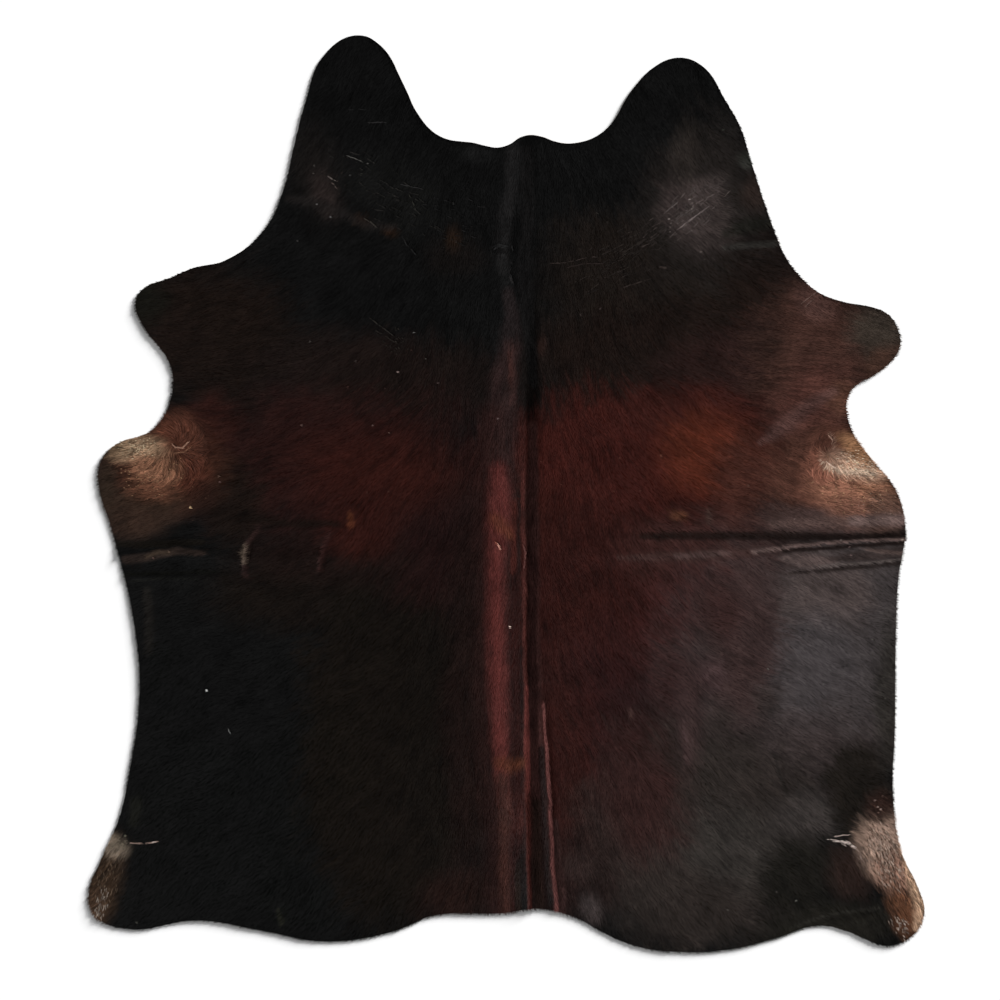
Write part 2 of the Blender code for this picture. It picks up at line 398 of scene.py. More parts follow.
# The dye and the animal's own colour, as they look on the finished hide, with painted sheen over the
# right belly, the rump and the neck, laid over each other from the first row to the last: middle
# (x, y), half width, half length, turn, softness, strength and colour.
NEAR_BLACK = (16, 16, 16)
COAT_PATCHES = {
    "brown under the left cross fold": (-0.404, -0.220, 0.250, 0.100, 0, 0.7, 0.9, (22, 17, 14)),
    "dark brown of the left rear": (-0.255, -0.560, 0.215, 0.430, 0, 0.35, 1.0, (21, 17, 14)),
    "brown of the left shoulder": (-0.666, 0.362, 0.195, 0.170, -10, 0.8, 1.0, (25, 18, 15)),
    "red over the left elbow": (-0.660, 0.160, 0.060, 0.060, 0, 1.2, 0.8, (46, 22, 18)),
    "tip of the left foreleg": (-0.820, 0.437, 0.055, 0.045, 0, 1.0, 0.8, (20, 20, 16)),
    "brown over the left side": (-0.267, 0.278, 0.270, 0.090, -5, 0.9, 1.0, (26, 19, 17)),
    "warm left side": (-0.358, 0.066, 0.340, 0.170, 0, 0.7, 1.0, (36, 19, 17)),
    "red of the left side": (-0.300, 0.054, 0.170, 0.100, 0, 1.2, 0.9, (47, 21, 17)),
    "dark between flank and elbow": (-0.614, -0.014, 0.070, 0.100, 15, 1.0, 0.9, (23, 17, 14)),
    "brown left of the knot": (-0.118, -0.140, 0.160, 0.115, 0, 1.0, 0.8, (34, 18, 17)),
    "brown in the middle of the left": (-0.404, -0.140, 0.180, 0.070, 0, 1.0, 0.7, (28, 18, 16)),
    "red under the left side": (-0.335, -0.080, 0.070, 0.062, 0, 1.1, 0.8, (48, 21, 17)),
    "purple brown beside the spine": (-0.084, -0.471, 0.055, 0.390, 0, 1.0, 0.9, (28, 18, 16)),
    "brown left of the neck fold": (-0.118, 0.545, 0.065, 0.045, 0, 1.2, 0.5, (24, 19, 17)),
    "brown by the tail": (-0.107, -0.917, 0.090, 0.060, 25, 1.2, 0.9, (34, 21, 18)),
    "brown of the right half": (0.487, -0.030, 0.450, 0.620, 0, 0.4, 1.0, (29, 21, 18)),
    "brown right of the neck fold": (0.259, 0.500, 0.170, 0.140, 0, 0.9, 1.0, (27, 22, 19)),
    "red beside the trough": (0.112, -0.090, 0.060, 0.150, 0, 1.2, 0.7, (60, 25, 20)),
    "wine between strip and crest": (0.016, -0.722, 0.022, 0.052, 0, 1.4, 0.9, (82, 42, 37)),
    "brown of the right shoulder": (0.327, 0.340, 0.270, 0.100, 0, 0.9, 1.0, (28, 20, 17)),
    "wine of the right shoulder": (0.487, 0.294, 0.180, 0.080, 15, 1.0, 0.9, (38, 24, 22)),
    "red of the right side": (0.293, 0.088, 0.300, 0.155, 0, 0.65, 1.0, (56, 24, 20)),
    "upper red of the right side": (0.419, 0.187, 0.180, 0.055, 0, 1.0, 0.9, (54, 25, 21)),
    "amber of the right side": (0.453, 0.095, 0.100, 0.090, 10, 1.2, 0.9, (80, 37, 25)),
    "brown before the right elbow": (0.544, 0.027, 0.080, 0.110, 0, 1.0, 0.9, (65, 37, 30)),
    "red brown beside the spine": (0.213, -0.243, 0.210, 0.250, 0, 0.7, 1.0, (46, 21, 18)),
    "wine of the right loin": (0.250, -0.563, 0.190, 0.270, 0, 0.8, 1.0, (44, 22, 21)),
    "wine right of the spine": (0.110, -0.654, 0.090, 0.250, 0, 1.0, 0.9, (48, 23, 20)),
    "dark round the light spot": (0.286, -0.480, 0.055, 0.055, 0, 1.2, 0.6, (34, 21, 21)),
    "light wine of the right flank": (0.446, -0.132, 0.160, 0.088, 0, 1.1, 0.9, (61, 38, 35)),
    "wine of the right flank": (0.440, -0.288, 0.150, 0.135, 0, 1.0, 0.9, (60, 31, 29)),
    # Down to the lower rump, the greys and mauves are painted sheen over the hair's wine and brown.
    "mauve with painted sheen of the belly": (0.670, -0.380, 0.300, 0.285, 0, 0.7, 1.0, (56, 48, 47)),
    "grey of the belly": (0.800, -0.320, 0.155, 0.210, 0, 0.9, 0.9, (62, 57, 57)),
    "bright painted sheen of the belly": (0.730, -0.222, 0.098, 0.078, 0, 1.0, 0.9, (76, 66, 64)),
    "blue painted sheen of the belly": (0.690, -0.400, 0.090, 0.110, -10, 1.1, 0.7, (72, 67, 68)),
    "mauve before the belly": (0.535, -0.330, 0.075, 0.185, -6, 1.1, 0.7, (60, 42, 40)),
    "wine before the belly": (0.476, -0.262, 0.050, 0.062, 0, 1.2, 0.7, (47, 28, 26)),
    "dim before the belly": (0.560, -0.340, 0.034, 0.046, 0, 1.2, 0.6, (45, 34, 33)),
    "light mauve of the flank": (0.462, -0.410, 0.030, 0.036, 0, 1.2, 0.8, (69, 52, 52)),
    "wine by the flank's edge": (0.392, -0.430, 0.045, 0.060, 0, 1.2, 0.6, (46, 26, 25)),
    "dim spot of the flank": (0.588, -0.470, 0.030, 0.036, 0, 1.2, 0.6, (46, 40, 38)),
    "brown with painted sheen of the rump": (0.441, -0.768, 0.250, 0.250, 0, 0.6, 1.0, (46, 40, 37)),
    "grey of the rump": (0.498, -0.802, 0.140, 0.100, -10, 1.1, 0.9, (51, 47, 44)),
    "wine of the rump": (0.310, -0.690, 0.090, 0.150, 15, 1.1, 0.9, (50, 30, 28)),
    "mauve edge of the flank": (0.414, -0.500, 0.030, 0.125, 0, 1.2, 0.7, (58, 43, 42)),
    "bright painted sheen of the rump": (0.670, -0.740, 0.080, 0.055, 0, 1.2, 0.8, (58, 53, 51)),
    "lower rump": (0.368, -0.940, 0.140, 0.080, 0, 1.0, 0.8, (43, 37, 34)),
    "brown by the tail's right": (0.190, -0.850, 0.080, 0.100, 0, 1.1, 0.8, (37, 26, 24)),
    "blotch by the tail": (0.163, -0.841, 0.034, 0.036, 0, 1.5, 0.5, (52, 41, 39)),
    "light by the tail's edge": (0.190, -0.942, 0.022, 0.036, 10, 1.3, 0.8, (62, 54, 53)),
    "dark of the right thigh": (0.660, -0.866, 0.080, 0.085, -5, 0.9, 1.0, (27, 25, 22)),
    "brown before the right shank": (0.780, -0.866, 0.050, 0.060, 0, 1.1, 0.8, (44, 32, 28)),
    "olive of the thigh": (0.738, -0.985, 0.160, 0.050, 5, 0.9, 0.9, (31, 29, 25)),
    "dark over the right shank": (0.795, -0.675, 0.078, 0.115, 0, 0.6, 1.0, (29, 25, 22)),
    "edge of the right belly": (0.871, -0.450, 0.035, 0.160, 0, 1.1, 0.8, (44, 41, 37)),
    "right foreleg": (0.704, 0.328, 0.150, 0.140, -25, 0.9, 1.0, (61, 40, 34)),
    "crook of the right foreleg": (0.697, 0.210, 0.095, 0.073, 20, 1.1, 0.9, (73, 45, 39)),
    "light of the right shoulder point": (0.697, 0.438, 0.045, 0.035, -30, 1.2, 0.9, (73, 51, 46)),
    "inner edge of the right foreleg": (0.766, 0.220, 0.034, 0.040, -30, 1.0, 0.7, (86, 58, 46)),
    "tip of the right foreleg": (0.834, 0.374, 0.065, 0.055, -30, 1.0, 0.9, (54, 47, 41)),
    "lower tip of the right foreleg": (0.853, 0.310, 0.045, 0.027, 30, 1.2, 0.9, (62, 43, 35)),
    # The cloud on the right of the neck and the brown round it are painted sheen.
    "painted sheen round the cloud on the neck": (0.441, 0.670, 0.130, 0.170, -20, 0.9, 0.9, (34, 30, 28)),
    "cloud on the neck": (0.405, 0.660, 0.055, 0.060, -20, 1.2, 0.8, (66, 56, 54)),
    "lower part of the cloud": (0.448, 0.615, 0.060, 0.060, -35, 1.2, 0.8, (58, 50, 48)),
    "middle of the cloud": (0.448, 0.680, 0.030, 0.060, -35, 1.2, 0.7, (62, 54, 52)),
    "upper part of the cloud": (0.402, 0.778, 0.032, 0.070, -5, 1.2, 0.9, (42, 37, 34)),
    # Painted highlight on a small bump by the edge of the neck.
    "painted highlight on the neck's edge": (0.545, 0.762, 0.020, 0.016, -20, 1.3, 0.9, (50, 50, 46)),
    "warm edge of the neck": (0.560, 0.690, 0.030, 0.035, -15, 1.3, 0.7, (46, 36, 32)),
    "brown of the left neck": (-0.430, 0.740, 0.045, 0.085, 10, 1.9, 0.6, (30, 26, 24)),
    "warm spot of the left neck": (-0.408, 0.688, 0.026, 0.044, 20, 1.5, 0.75, (46, 38, 36)),
    "grey of the left neck": (-0.265, 0.690, 0.100, 0.070, -30, 1.3, 0.6, (23, 23, 22)),
    "orange spot of the left neck": (-0.330, 0.630, 0.020, 0.010, -20, 1.6, 0.7, (44, 30, 22)),
    "second orange spot there": (-0.264, 0.606, 0.018, 0.010, -20, 1.6, 0.7, (42, 27, 18)),
    "brown spot by the neck fold": (-0.122, 0.590, 0.016, 0.026, 0, 1.6, 0.7, (38, 26, 18)),
    "grey by the neck's notch": (-0.065, 0.780, 0.030, 0.018, 0, 1.3, 0.8, (29, 29, 29)),
    "brown spot right of the spine": (0.076, 0.345, 0.012, 0.020, 0, 1.3, 0.7, (44, 30, 26)),
    "round the left elbow": (-0.775, 0.066, 0.110, 0.086, 0, 1.4, 1.0, (72, 43, 31)),
    "red of the left elbow": (-0.750, 0.140, 0.046, 0.037, 20, 1.2, 0.8, (84, 49, 37)),
    "red beside the left tan": (-0.716, 0.050, 0.040, 0.044, 0, 1.3, 0.6, (92, 50, 38)),
    "under the left elbow": (-0.815, -0.020, 0.085, 0.045, 8, 1.3, 0.9, (46, 34, 27)),
    "pale of the left elbow": (-0.834, 0.104, 0.054, 0.025, 6, 1.3, 1.0, (160, 132, 106)),
    "pale edge of the left elbow": (-0.885, 0.100, 0.022, 0.020, 30, 1.2, 0.6, (98, 80, 62)),
    "tan of the left elbow": (-0.798, 0.060, 0.046, 0.036, 0, 1.2, 0.9, (146, 103, 80)),
    "lower tan of the left elbow": (-0.800, 0.010, 0.050, 0.026, 0, 1.3, 0.8, (96, 62, 47)),
    "brown under that tan": (-0.838, -0.062, 0.070, 0.036, 0, 1.2, 0.8, (50, 36, 29)),
    "dark before the left elbow": (-0.688, 0.006, 0.038, 0.044, 0, 1.2, 0.7, (30, 19, 16)),
    "dim edge of the left elbow": (-0.905, 0.020, 0.024, 0.060, 0, 1.2, 0.9, (44, 34, 27)),
    "round the right elbow": (0.720, 0.045, 0.110, 0.090, -10, 1.1, 1.0, (86, 55, 45)),
    "mauve under the right elbow": (0.738, -0.055, 0.150, 0.032, 0, 1.0, 1.0, (67, 51, 48)),
    "tan of the right elbow": (0.764, 0.022, 0.072, 0.044, 0, 1.1, 0.9, (150, 104, 84)),
    "gold right of that tan": (0.838, 0.008, 0.046, 0.040, -20, 1.2, 0.8, (136, 93, 70)),
    "edge of the right elbow": (0.852, -0.036, 0.054, 0.052, -10, 1.2, 0.8, (102, 76, 66)),
    "lower tan of the right elbow": (0.775, -0.036, 0.044, 0.032, 0, 1.2, 0.8, (124, 85, 70)),
    "tan left of the pale": (0.712, 0.060, 0.036, 0.030, 0, 1.2, 0.75, (136, 88, 72)),
    "dark by the right foreleg": (0.580, 0.350, 0.050, 0.050, 0, 1.2, 0.6, (34, 24, 21)),
    "brown over the right elbow": (0.743, 0.123, 0.050, 0.037, 0, 1.1, 0.8, (66, 40, 32)),
    "pale of the right elbow": (0.800, 0.063, 0.058, 0.025, -12, 1.3, 0.95, (214, 176, 150)),
    "gold over the right elbow": (0.795, 0.098, 0.048, 0.021, -40, 1.2, 0.9, (150, 110, 80)),
    "right shank": (0.853, -0.800, 0.056, 0.080, 15, 0.8, 1.0, (144, 120, 106)),
    "middle of the right shank": (0.884, -0.860, 0.047, 0.050, 20, 1.0, 0.9, (146, 112, 96)),
    "lower right shank": (0.906, -0.946, 0.036, 0.060, 18, 1.0, 0.95, (92, 61, 44)),
    "top of the right shank": (0.843, -0.708, 0.032, 0.030, 10, 1.2, 0.85, (52, 35, 30)),
    "left shank": (-0.917, -0.890, 0.036, 0.095, -14, 1.1, 1.0, (57, 43, 32)),
    "top of the left shank": (-0.892, -0.804, 0.032, 0.024, -10, 1.0, 0.95, (108, 96, 84)),
    "foot of the left shank": (-0.932, -0.935, 0.018, 0.036, -10, 1.2, 0.8, (84, 64, 50)),
}

# The same along lines, most of them painted highlight and painted shade along the folds and creases:
# softness, strength, colour, and rows of a place (x, y) and a half width.
COAT_BANDS = {
    # Painted highlight on the lit left slope of the spine fold, at the neck.
    "strip at the neck": (1.0, 0.8, (24, 23, 23), (
        (0.012, 0.785, 0.014), (0.010, 0.694, 0.014), (-0.006, 0.637, 0.018),
        (-0.008, 0.579, 0.018), (-0.006, 0.522, 0.014),
    )),
    "smear on the left of the neck": (1.5, 0.7, (31, 28, 27), (
        (-0.490, 0.676, 0.009), (-0.440, 0.672, 0.012), (-0.369, 0.646, 0.010),
        (-0.314, 0.618, 0.009), (-0.255, 0.615, 0.007),
    )),
    # Down the spine fold's lit left slope: the hair's own red and brown with painted highlight.
    "strip under the neck": (1.0, 0.9, (31, 25, 25), (
        (0.005, 0.465, 0.012), (0.014, 0.415, 0.016), (0.005, 0.340, 0.026),
    )),
    "strip of the back with painted highlight": (1.0, 0.9, (40, 27, 26), (
        (0.010, 0.340, 0.020), (-0.006, 0.271, 0.030), (-0.013, 0.145, 0.032), (-0.018, 0.054, 0.030),
    )),
    "edge of that strip": (1.0, 0.8, (50, 33, 31), (
        (0.010, 0.340, 0.008), (0.017, 0.260, 0.009), (0.015, 0.214, 0.008),
    )),
    "painted highlight left of the spine": (1.8, 0.8, (40, 23, 21), (
        (-0.032, 0.180, 0.030), (-0.034, -0.288, 0.034), (-0.030, -0.608, 0.036),
        (-0.020, -0.780, 0.026), (-0.020, -0.962, 0.022),
    )),
    "red strip of the loin with painted highlight": (1.7, 1.0, (77, 36, 33), (
        (-0.018, 0.060, 0.018), (-0.015, -0.037, 0.027), (-0.024, -0.140, 0.018),
        (-0.022, -0.288, 0.021), (-0.016, -0.471, 0.021), (-0.010, -0.600, 0.017),
        (-0.006, -0.700, 0.012),
    )),
    "red right of the knot": (1.4, 0.8, (62, 27, 22), (
        (0.014, -0.015, 0.008), (0.015, -0.070, 0.009), (0.014, -0.110, 0.007), (0.016, -0.170, 0.006),
    )),
    # On the rump: the hair's own brown with painted highlight.
    "rump strip with painted highlight": (1.5, 0.9, (58, 34, 29), (
        (-0.008, -0.645, 0.016), (-0.003, -0.791, 0.014), (-0.002, -0.962, 0.013),
    )),
    # Painted shade between the lit slope and the crest.
    "painted shade between strip and crest": (1.2, 0.8, (41, 19, 17), (
        (0.018, -0.180, 0.004), (0.020, -0.280, 0.009), (0.020, -0.471, 0.010),
        (0.021, -0.654, 0.011), (0.019, -0.791, 0.011), (0.018, -0.962, 0.009),
    )),
    "side line of the rump": (1.0, 0.8, (30, 22, 18), (
        (0.026, -0.837, 0.007), (0.026, -0.962, 0.007),
    )),
    # Painted highlight along the spine's crest.
    "crest of the spine": (1.0, 0.9, (64, 32, 28), (
        (0.037, 0.054, 0.0046), (0.038, -0.155, 0.0058), (0.040, -0.243, 0.0050), (0.042, -0.471, 0.0046),
        (0.046, -0.654, 0.005), (0.053, -0.962, 0.005),
    )),
    # Lighter paint in the troughs beside the spine: painted light that lifts the folds' own shade.
    "trough beside the spine": (1.0, 0.9, (54, 33, 31), (
        (0.060, 0.160, 0.010), (0.060, 0.054, 0.012), (0.062, -0.288, 0.013),
        (0.065, -0.563, 0.014), (0.069, -0.700, 0.013),
    )),
    "ends of that trough": (1.0, 0.9, (36, 25, 22), (
        (0.069, -0.700, 0.013), (0.071, -0.814, 0.014), (0.076, -0.962, 0.014),
    )),
    "upper trough beside the spine": (1.0, 0.9, (26, 25, 25), (
        (0.044, 0.785, 0.014), (0.046, 0.625, 0.016), (0.040, 0.511, 0.016),
        (0.053, 0.374, 0.012), (0.058, 0.260, 0.010),
    )),
    # Painted highlight on the brightest part of the crest.
    "painted highlight of that crest": (1.0, 0.9, (104, 54, 50), (
        (0.044, -0.430, 0.0030), (0.046, -0.500, 0.0050), (0.049, -0.610, 0.0055), (0.050, -0.670, 0.0030),
    )),
    # Painted shade left of the second crest, painted light on its shaded right foot, highlight along it.
    "painted shade left of the second crest": (1.0, 0.9, (24, 14, 13), (
        (0.078, -0.574, 0.007), (0.083, -0.665, 0.008), (0.0875, -0.791, 0.009),
        (0.092, -0.905, 0.009), (0.094, -0.962, 0.009),
    )),
    "painted light at the second crest's right foot": (1.0, 0.8, (56, 38, 36), (
        (0.111, -0.740, 0.005), (0.115, -0.791, 0.008), (0.124, -0.905, 0.008), (0.126, -0.962, 0.008),
    )),
    "painted highlight of the second crest": (1.0, 1.0, (98, 60, 57), (
        (0.084, -0.471, 0.0026), (0.090, -0.574, 0.0030), (0.0955, -0.665, 0.0036),
        (0.1035, -0.791, 0.0040), (0.109, -0.905, 0.0044), (0.1125, -0.962, 0.0042),
    )),
    "mauve over the right cross fold": (1.2, 0.8, (82, 65, 61), (
        (0.600, -0.066, 0.009), (0.716, -0.062, 0.014), (0.807, -0.062, 0.015), (0.895, -0.058, 0.014),
    )),
    "bright end of that mauve": (1.4, 0.9, (104, 86, 82), (
        (0.780, -0.060, 0.009), (0.830, -0.058, 0.012), (0.895, -0.056, 0.011),
    )),
    # Painted shade on the upper slope of the right cross fold.
    "painted shade over the right cross fold": (1.0, 0.85, (26, 19, 17), (
        (0.304, -0.092, 0.007), (0.476, -0.092, 0.010), (0.624, -0.094, 0.009),
        (0.784, -0.097, 0.008), (0.907, -0.092, 0.007),
    )),
    # Painted highlight on the lower slope of the right cross fold.
    "painted highlight below the right cross fold": (1.6, 0.85, (62, 44, 41), (
        (0.250, -0.141, 0.003), (0.327, -0.140, 0.009), (0.441, -0.137, 0.012), (0.560, -0.130, 0.009),
    )),
    "brightest of that painted highlight": (1.4, 0.8, (82, 64, 61), (
        (0.380, -0.136, 0.005), (0.441, -0.134, 0.007), (0.500, -0.131, 0.005),
    )),
    # Painted highlight and painted shade between the right creases.
    "painted highlight amid the right creases": (1.3, 0.8, (90, 76, 73), (
        (0.620, -0.144, 0.004), (0.660, -0.150, 0.013), (0.700, -0.150, 0.012), (0.745, -0.148, 0.004),
    )),
    "painted shade between the right creases": (1.2, 0.8, (50, 41, 39), (
        (0.735, -0.146, 0.004), (0.790, -0.141, 0.012), (0.850, -0.137, 0.014), (0.905, -0.135, 0.013),
    )),
    # Painted highlight along the crest of the right cross fold, and painted shade in the line under it.
    "crest of the right cross fold": (0.9, 0.95, (98, 81, 77), (
        (0.556, -0.129, 0.0050), (0.624, -0.120, 0.0032), (0.690, -0.113, 0.0028),
        (0.754, -0.107, 0.0027), (0.820, -0.104, 0.0027), (0.903, -0.101, 0.0027),
    )),
    "painted shade under that crest": (0.9, 0.9, (27, 20, 18), (
        (0.624, -0.129, 0.0036), (0.700, -0.124, 0.0042), (0.777, -0.119, 0.0042),
        (0.848, -0.113, 0.0040), (0.905, -0.110, 0.0034),
    )),
    # Painted highlight on the short crease, painted shade under the cross fold, painted highlight over
    # that.
    "painted highlight on the short crease": (0.9, 0.8, (84, 70, 66), (
        (0.812, -0.125, 0.0030), (0.850, -0.130, 0.0044), (0.903, -0.135, 0.0044),
    )),
    "painted shade under the right cross fold": (0.9, 0.85, (36, 29, 27), (
        (0.640, -0.178, 0.0030), (0.738, -0.169, 0.0040), (0.807, -0.164, 0.0042), (0.900, -0.157, 0.0038),
    )),
    "painted highlight over that shade": (0.9, 0.8, (92, 83, 80), (
        (0.700, -0.164, 0.0016), (0.784, -0.157, 0.0024), (0.889, -0.150, 0.0026),
    )),
    # Painted shade and painted highlight on the left cross fold, its crest and the lines under it.
    "painted shade over the left cross fold": (0.9, 0.9, (20, 17, 14), (
        (-0.897, -0.113, 0.007), (-0.792, -0.113, 0.009), (-0.689, -0.110, 0.007),
    )),
    "crest of the left cross fold": (1.0, 0.9, (46, 37, 33), (
        (-0.865, -0.148, 0.009), (-0.815, -0.142, 0.010), (-0.746, -0.130, 0.008), (-0.685, -0.134, 0.005),
    )),
    "painted highlights on the left cross fold": (1.2, 0.8, (54, 44, 36), (
        (-0.815, -0.142, 0.0055), (-0.792, -0.133, 0.0055), (-0.764, -0.133, 0.0055),
    )),
    "line under the left cross fold": (1.0, 0.9, (15, 15, 13), (
        (-0.872, -0.181, 0.0046), (-0.758, -0.179, 0.0050), (-0.650, -0.177, 0.0034),
    )),
    "painted highlight under the left cross fold": (1.0, 0.8, (22, 22, 20), (
        (-0.847, -0.197, 0.0030), (-0.780, -0.190, 0.0030), (-0.700, -0.192, 0.0027),
    )),
    # Painted shade in the fold between the dents on the left, and painted highlight on the dents.
    "painted shade between the dents": (1.2, 0.7, (22, 16, 13), (
        (-0.573, -0.060, 0.007), (-0.472, -0.065, 0.009), (-0.381, -0.065, 0.007),
    )),
    "painted highlight where the outer dent ends": (1.0, 0.8, (44, 30, 28), (
        (-0.559, -0.076, 0.0055), (-0.579, -0.101, 0.0055), (-0.591, -0.124, 0.0046),
        (-0.593, -0.165, 0.0055), (-0.589, -0.188, 0.0046),
    )),
    "outer dent": (1.0, 0.9, (86, 74, 64), (
        (-0.593, -0.117, 0.005), (-0.5955, -0.135, 0.007), (-0.593, -0.154, 0.0055),
    )),
    "inner dent": (1.0, 0.8, (50, 30, 28), (
        (-0.397, -0.083, 0.0040), (-0.413, -0.124, 0.0055), (-0.420, -0.151, 0.0060),
        (-0.420, -0.174, 0.0040),
    )),
    "orange spot by the inner dent": (1.2, 0.9, (84, 45, 30), (
        (-0.353, -0.040, 0.007), (-0.351, -0.065, 0.007),
    )),
    "orange spot on the right side": (1.4, 0.8, (84, 52, 37), (
        (0.377, -0.046, 0.010), (0.396, -0.046, 0.010),
    )),
    "pale spot on the right side": (1.4, 0.7, (66, 50, 45), (
        (0.455, -0.037, 0.006), (0.457, -0.060, 0.006),
    )),
    "sheen under the right shoulder": (1.9, 0.7, (84, 60, 56), (
        (0.570, 0.118, 0.004), (0.610, 0.146, 0.014), (0.640, 0.168, 0.017),
        (0.680, 0.200, 0.014), (0.740, 0.235, 0.010),
    )),
    # Painted shade over the right shoulder fold, and painted highlight along it.
    "painted shade over the right shoulder fold": (1.4, 0.7, (26, 26, 22), (
        (0.492, 0.598, 0.009), (0.544, 0.616, 0.016), (0.588, 0.620, 0.014),
    )),
    "painted highlight on the right shoulder fold": (1.0, 0.8, (47, 45, 42), (
        (0.492, 0.566, 0.006), (0.544, 0.568, 0.008), (0.606, 0.573, 0.0075),
    )),
    # Painted shade in a crease of the belly.
    "painted shade of the belly's crease": (1.2, 0.7, (32, 29, 27), (
        (0.604, -0.592, 0.0035), (0.617, -0.631, 0.0046), (0.635, -0.685, 0.0035),
    )),
    "light spot on the loin": (1.3, 0.8, (64, 45, 42), (
        (0.279, -0.487, 0.006), (0.280, -0.505, 0.006),
    )),
    "light edge of the flank": (1.2, 0.7, (66, 50, 49), (
        (0.400, -0.517, 0.007), (0.405, -0.567, 0.009), (0.409, -0.604, 0.007),
    )),
    "pale ridge of the right elbow": (1.0, 0.9, (206, 180, 158), (
        (0.722, 0.078, 0.0020), (0.738, 0.066, 0.0040), (0.765, 0.056, 0.0070), (0.830, 0.050, 0.0080),
    )),
    "small curl over the right elbow": (1.0, 0.8, (112, 86, 74), (
        (0.729, 0.136, 0.0027), (0.743, 0.118, 0.0032), (0.741, 0.100, 0.0027),
    )),
    "golden edge of the right shank": (1.6, 0.85, (182, 150, 124), (
        (0.898, -0.790, 0.006), (0.922, -0.872, 0.013), (0.940, -0.936, 0.013), (0.934, -0.986, 0.008),
    )),
    # Painted highlight along the crease over the right shank.
    "painted highlight along the right thigh's line": (1.0, 0.7, (44, 42, 38), (
        (0.647, -0.985, 0.0032), (0.736, -0.955, 0.0037), (0.850, -0.939, 0.0032),
    )),
    "edge light on the left": (1.2, 0.5, (32, 29, 26), (
        (-0.815, -0.220, 0.009), (-0.810, -0.288, 0.011), (-0.812, -0.357, 0.009),
    )),
    "edge light over the left shank": (1.2, 0.5, (31, 31, 26), (
        (-0.842, -0.700, 0.014), (-0.847, -0.745, 0.011),
    )),
    "light smear by the lower edge": (1.2, 0.8, (34, 34, 27), (
        (-0.515, -0.946, 0.0037), (-0.509, -0.978, 0.0046),
    )),
    "warm patch of the spine": (1.6, 0.6, (84, 46, 30), (
        (-0.012, -0.608, 0.014), (0.010, -0.613, 0.016), (0.036, -0.606, 0.010),
    )),
    "warm round the knot": (1.6, 0.6, (82, 44, 30), (
        (-0.026, -0.050, 0.012), (-0.010, -0.070, 0.014), (0.006, -0.088, 0.010),
    )),
    "warm strip under the neck": (1.6, 0.6, (56, 32, 28), (
        (0.007, 0.325, 0.005), (0.012, 0.290, 0.006), (0.012, 0.255, 0.005),
    )),
}
SHEEN = 0.0012  # what the gloss of the hair adds to its colour
LIT = 0.80  # how much of its own colour the coat shows
WANDER, WANDER_SIZE = 0.016, 0.12  # how far the edge of a patch strays, and over what size
FRAY, FRAY_SIZE = 0.010, 0.024  # how far it breaks up into locks, and their size
PULL, PULL_SIZE, PULL_LENGTH = 0.020, 0.006, 0.050  # how far locks draw it out along the hair
FULL_STRAY = 0.10  # half width of a patch whose edge strays that far, and less for a smaller one
LEAST_STRAY, MOST_STRAY = 0.15, 1.5
BAND_FRAY = 0.12  # of FRAY, at the edge of a band
BLOTCH, BLOTCH_SIZE = 0.12, 0.05  # strength and size of the coat's slow unevenness
MOTTLE, MOTTLE_SIZE = 0.14, 0.018  # and of its small one
STREAK, STREAK_SIZE, STREAK_LENGTH = 0.30, 0.005, 0.035  # locks of hair along the combing
LOCK_STOPS, LOCK_CALM = 7, 3.0  # readings of a field along a lock, and what divides their sum
DARKEST = 0.0008  # that the hair's own colour can be


def turned(vectors, degrees):
    """The vectors turned anticlockwise."""
    cos, sin = math.cos(math.radians(degrees)), math.sin(math.radians(degrees))
    x, y = vectors[:, 0], vectors[:, 1]
    return np.column_stack([x * cos - y * sin, x * sin + y * cos])


def patch(points, x, y, across, along, turn, softness):
    """How much of an oval patch each point has, from 0 outside to 1 in its middle. The patch is
    turned anticlockwise, and a softness of 1 fades it over half of its size to each side."""
    far = np.hypot(*(turned(points - np.array([x, y]), -turn) / (across, along)).T)
    return soften((1.0 + softness * 0.5 - far) / softness)


def dye_and_painted_light(red, green, blue):
    """The colour put on the hair, dye and painted light alike, for one given as the eye sees it, 0 to 255.
    """
    return np.array([max((c - SHEEN) / LIT, DARKEST) for c in shade(red, green, blue)])


# The way the hair lies on the animal's right half, as a groomer would comb it: place (x, y) and
# direction (x, y). The left half mirrors it about the spine. Round a whorl it turns away from
# the middle (x, y), over a reach, with a twist in degrees.
SPINE_X = 0.030
COMBING = (
    (0.06, 0.75, 0.35, -1.0),
    (0.06, 0.30, 0.40, -1.0),
    (0.08, -0.20, 0.45, -1.0),
    (0.08, -0.80, 0.30, -1.0),
    (0.35, 0.92, 0.50, -0.8),
    (0.45, 0.62, 0.90, -0.6),
    (0.62, 0.38, 0.90, -0.3),
    (0.85, 0.35, 1.00, 0.1),
    (0.40, 0.10, 0.90, -0.7),
    (0.75, 0.12, 1.00, 0.1),
    (0.85, -0.05, 0.90, -0.5),
    (0.45, -0.35, 1.00, -0.6),
    (0.82, -0.40, 1.00, -0.4),
    (0.42, -0.80, 0.80, -0.8),
    (0.70, -0.75, 1.00, -0.6),
    (0.90, -0.92, 0.60, -0.9),
)
WHORLS = {
    "left elbow": (-0.757, 0.112, 0.095, 20),
    "right elbow": (0.734, 0.088, 0.055, -15),
}
WHORL_FADE = 1.2  # how fast a whorl gives way to the combing round it
COMB_REACH = 0.20  # how far one row of the combing turns the hair round it
SWAY, SWAY_SIZE = 0.30, 0.07  # how far, in radians, the lie strays, and over what size


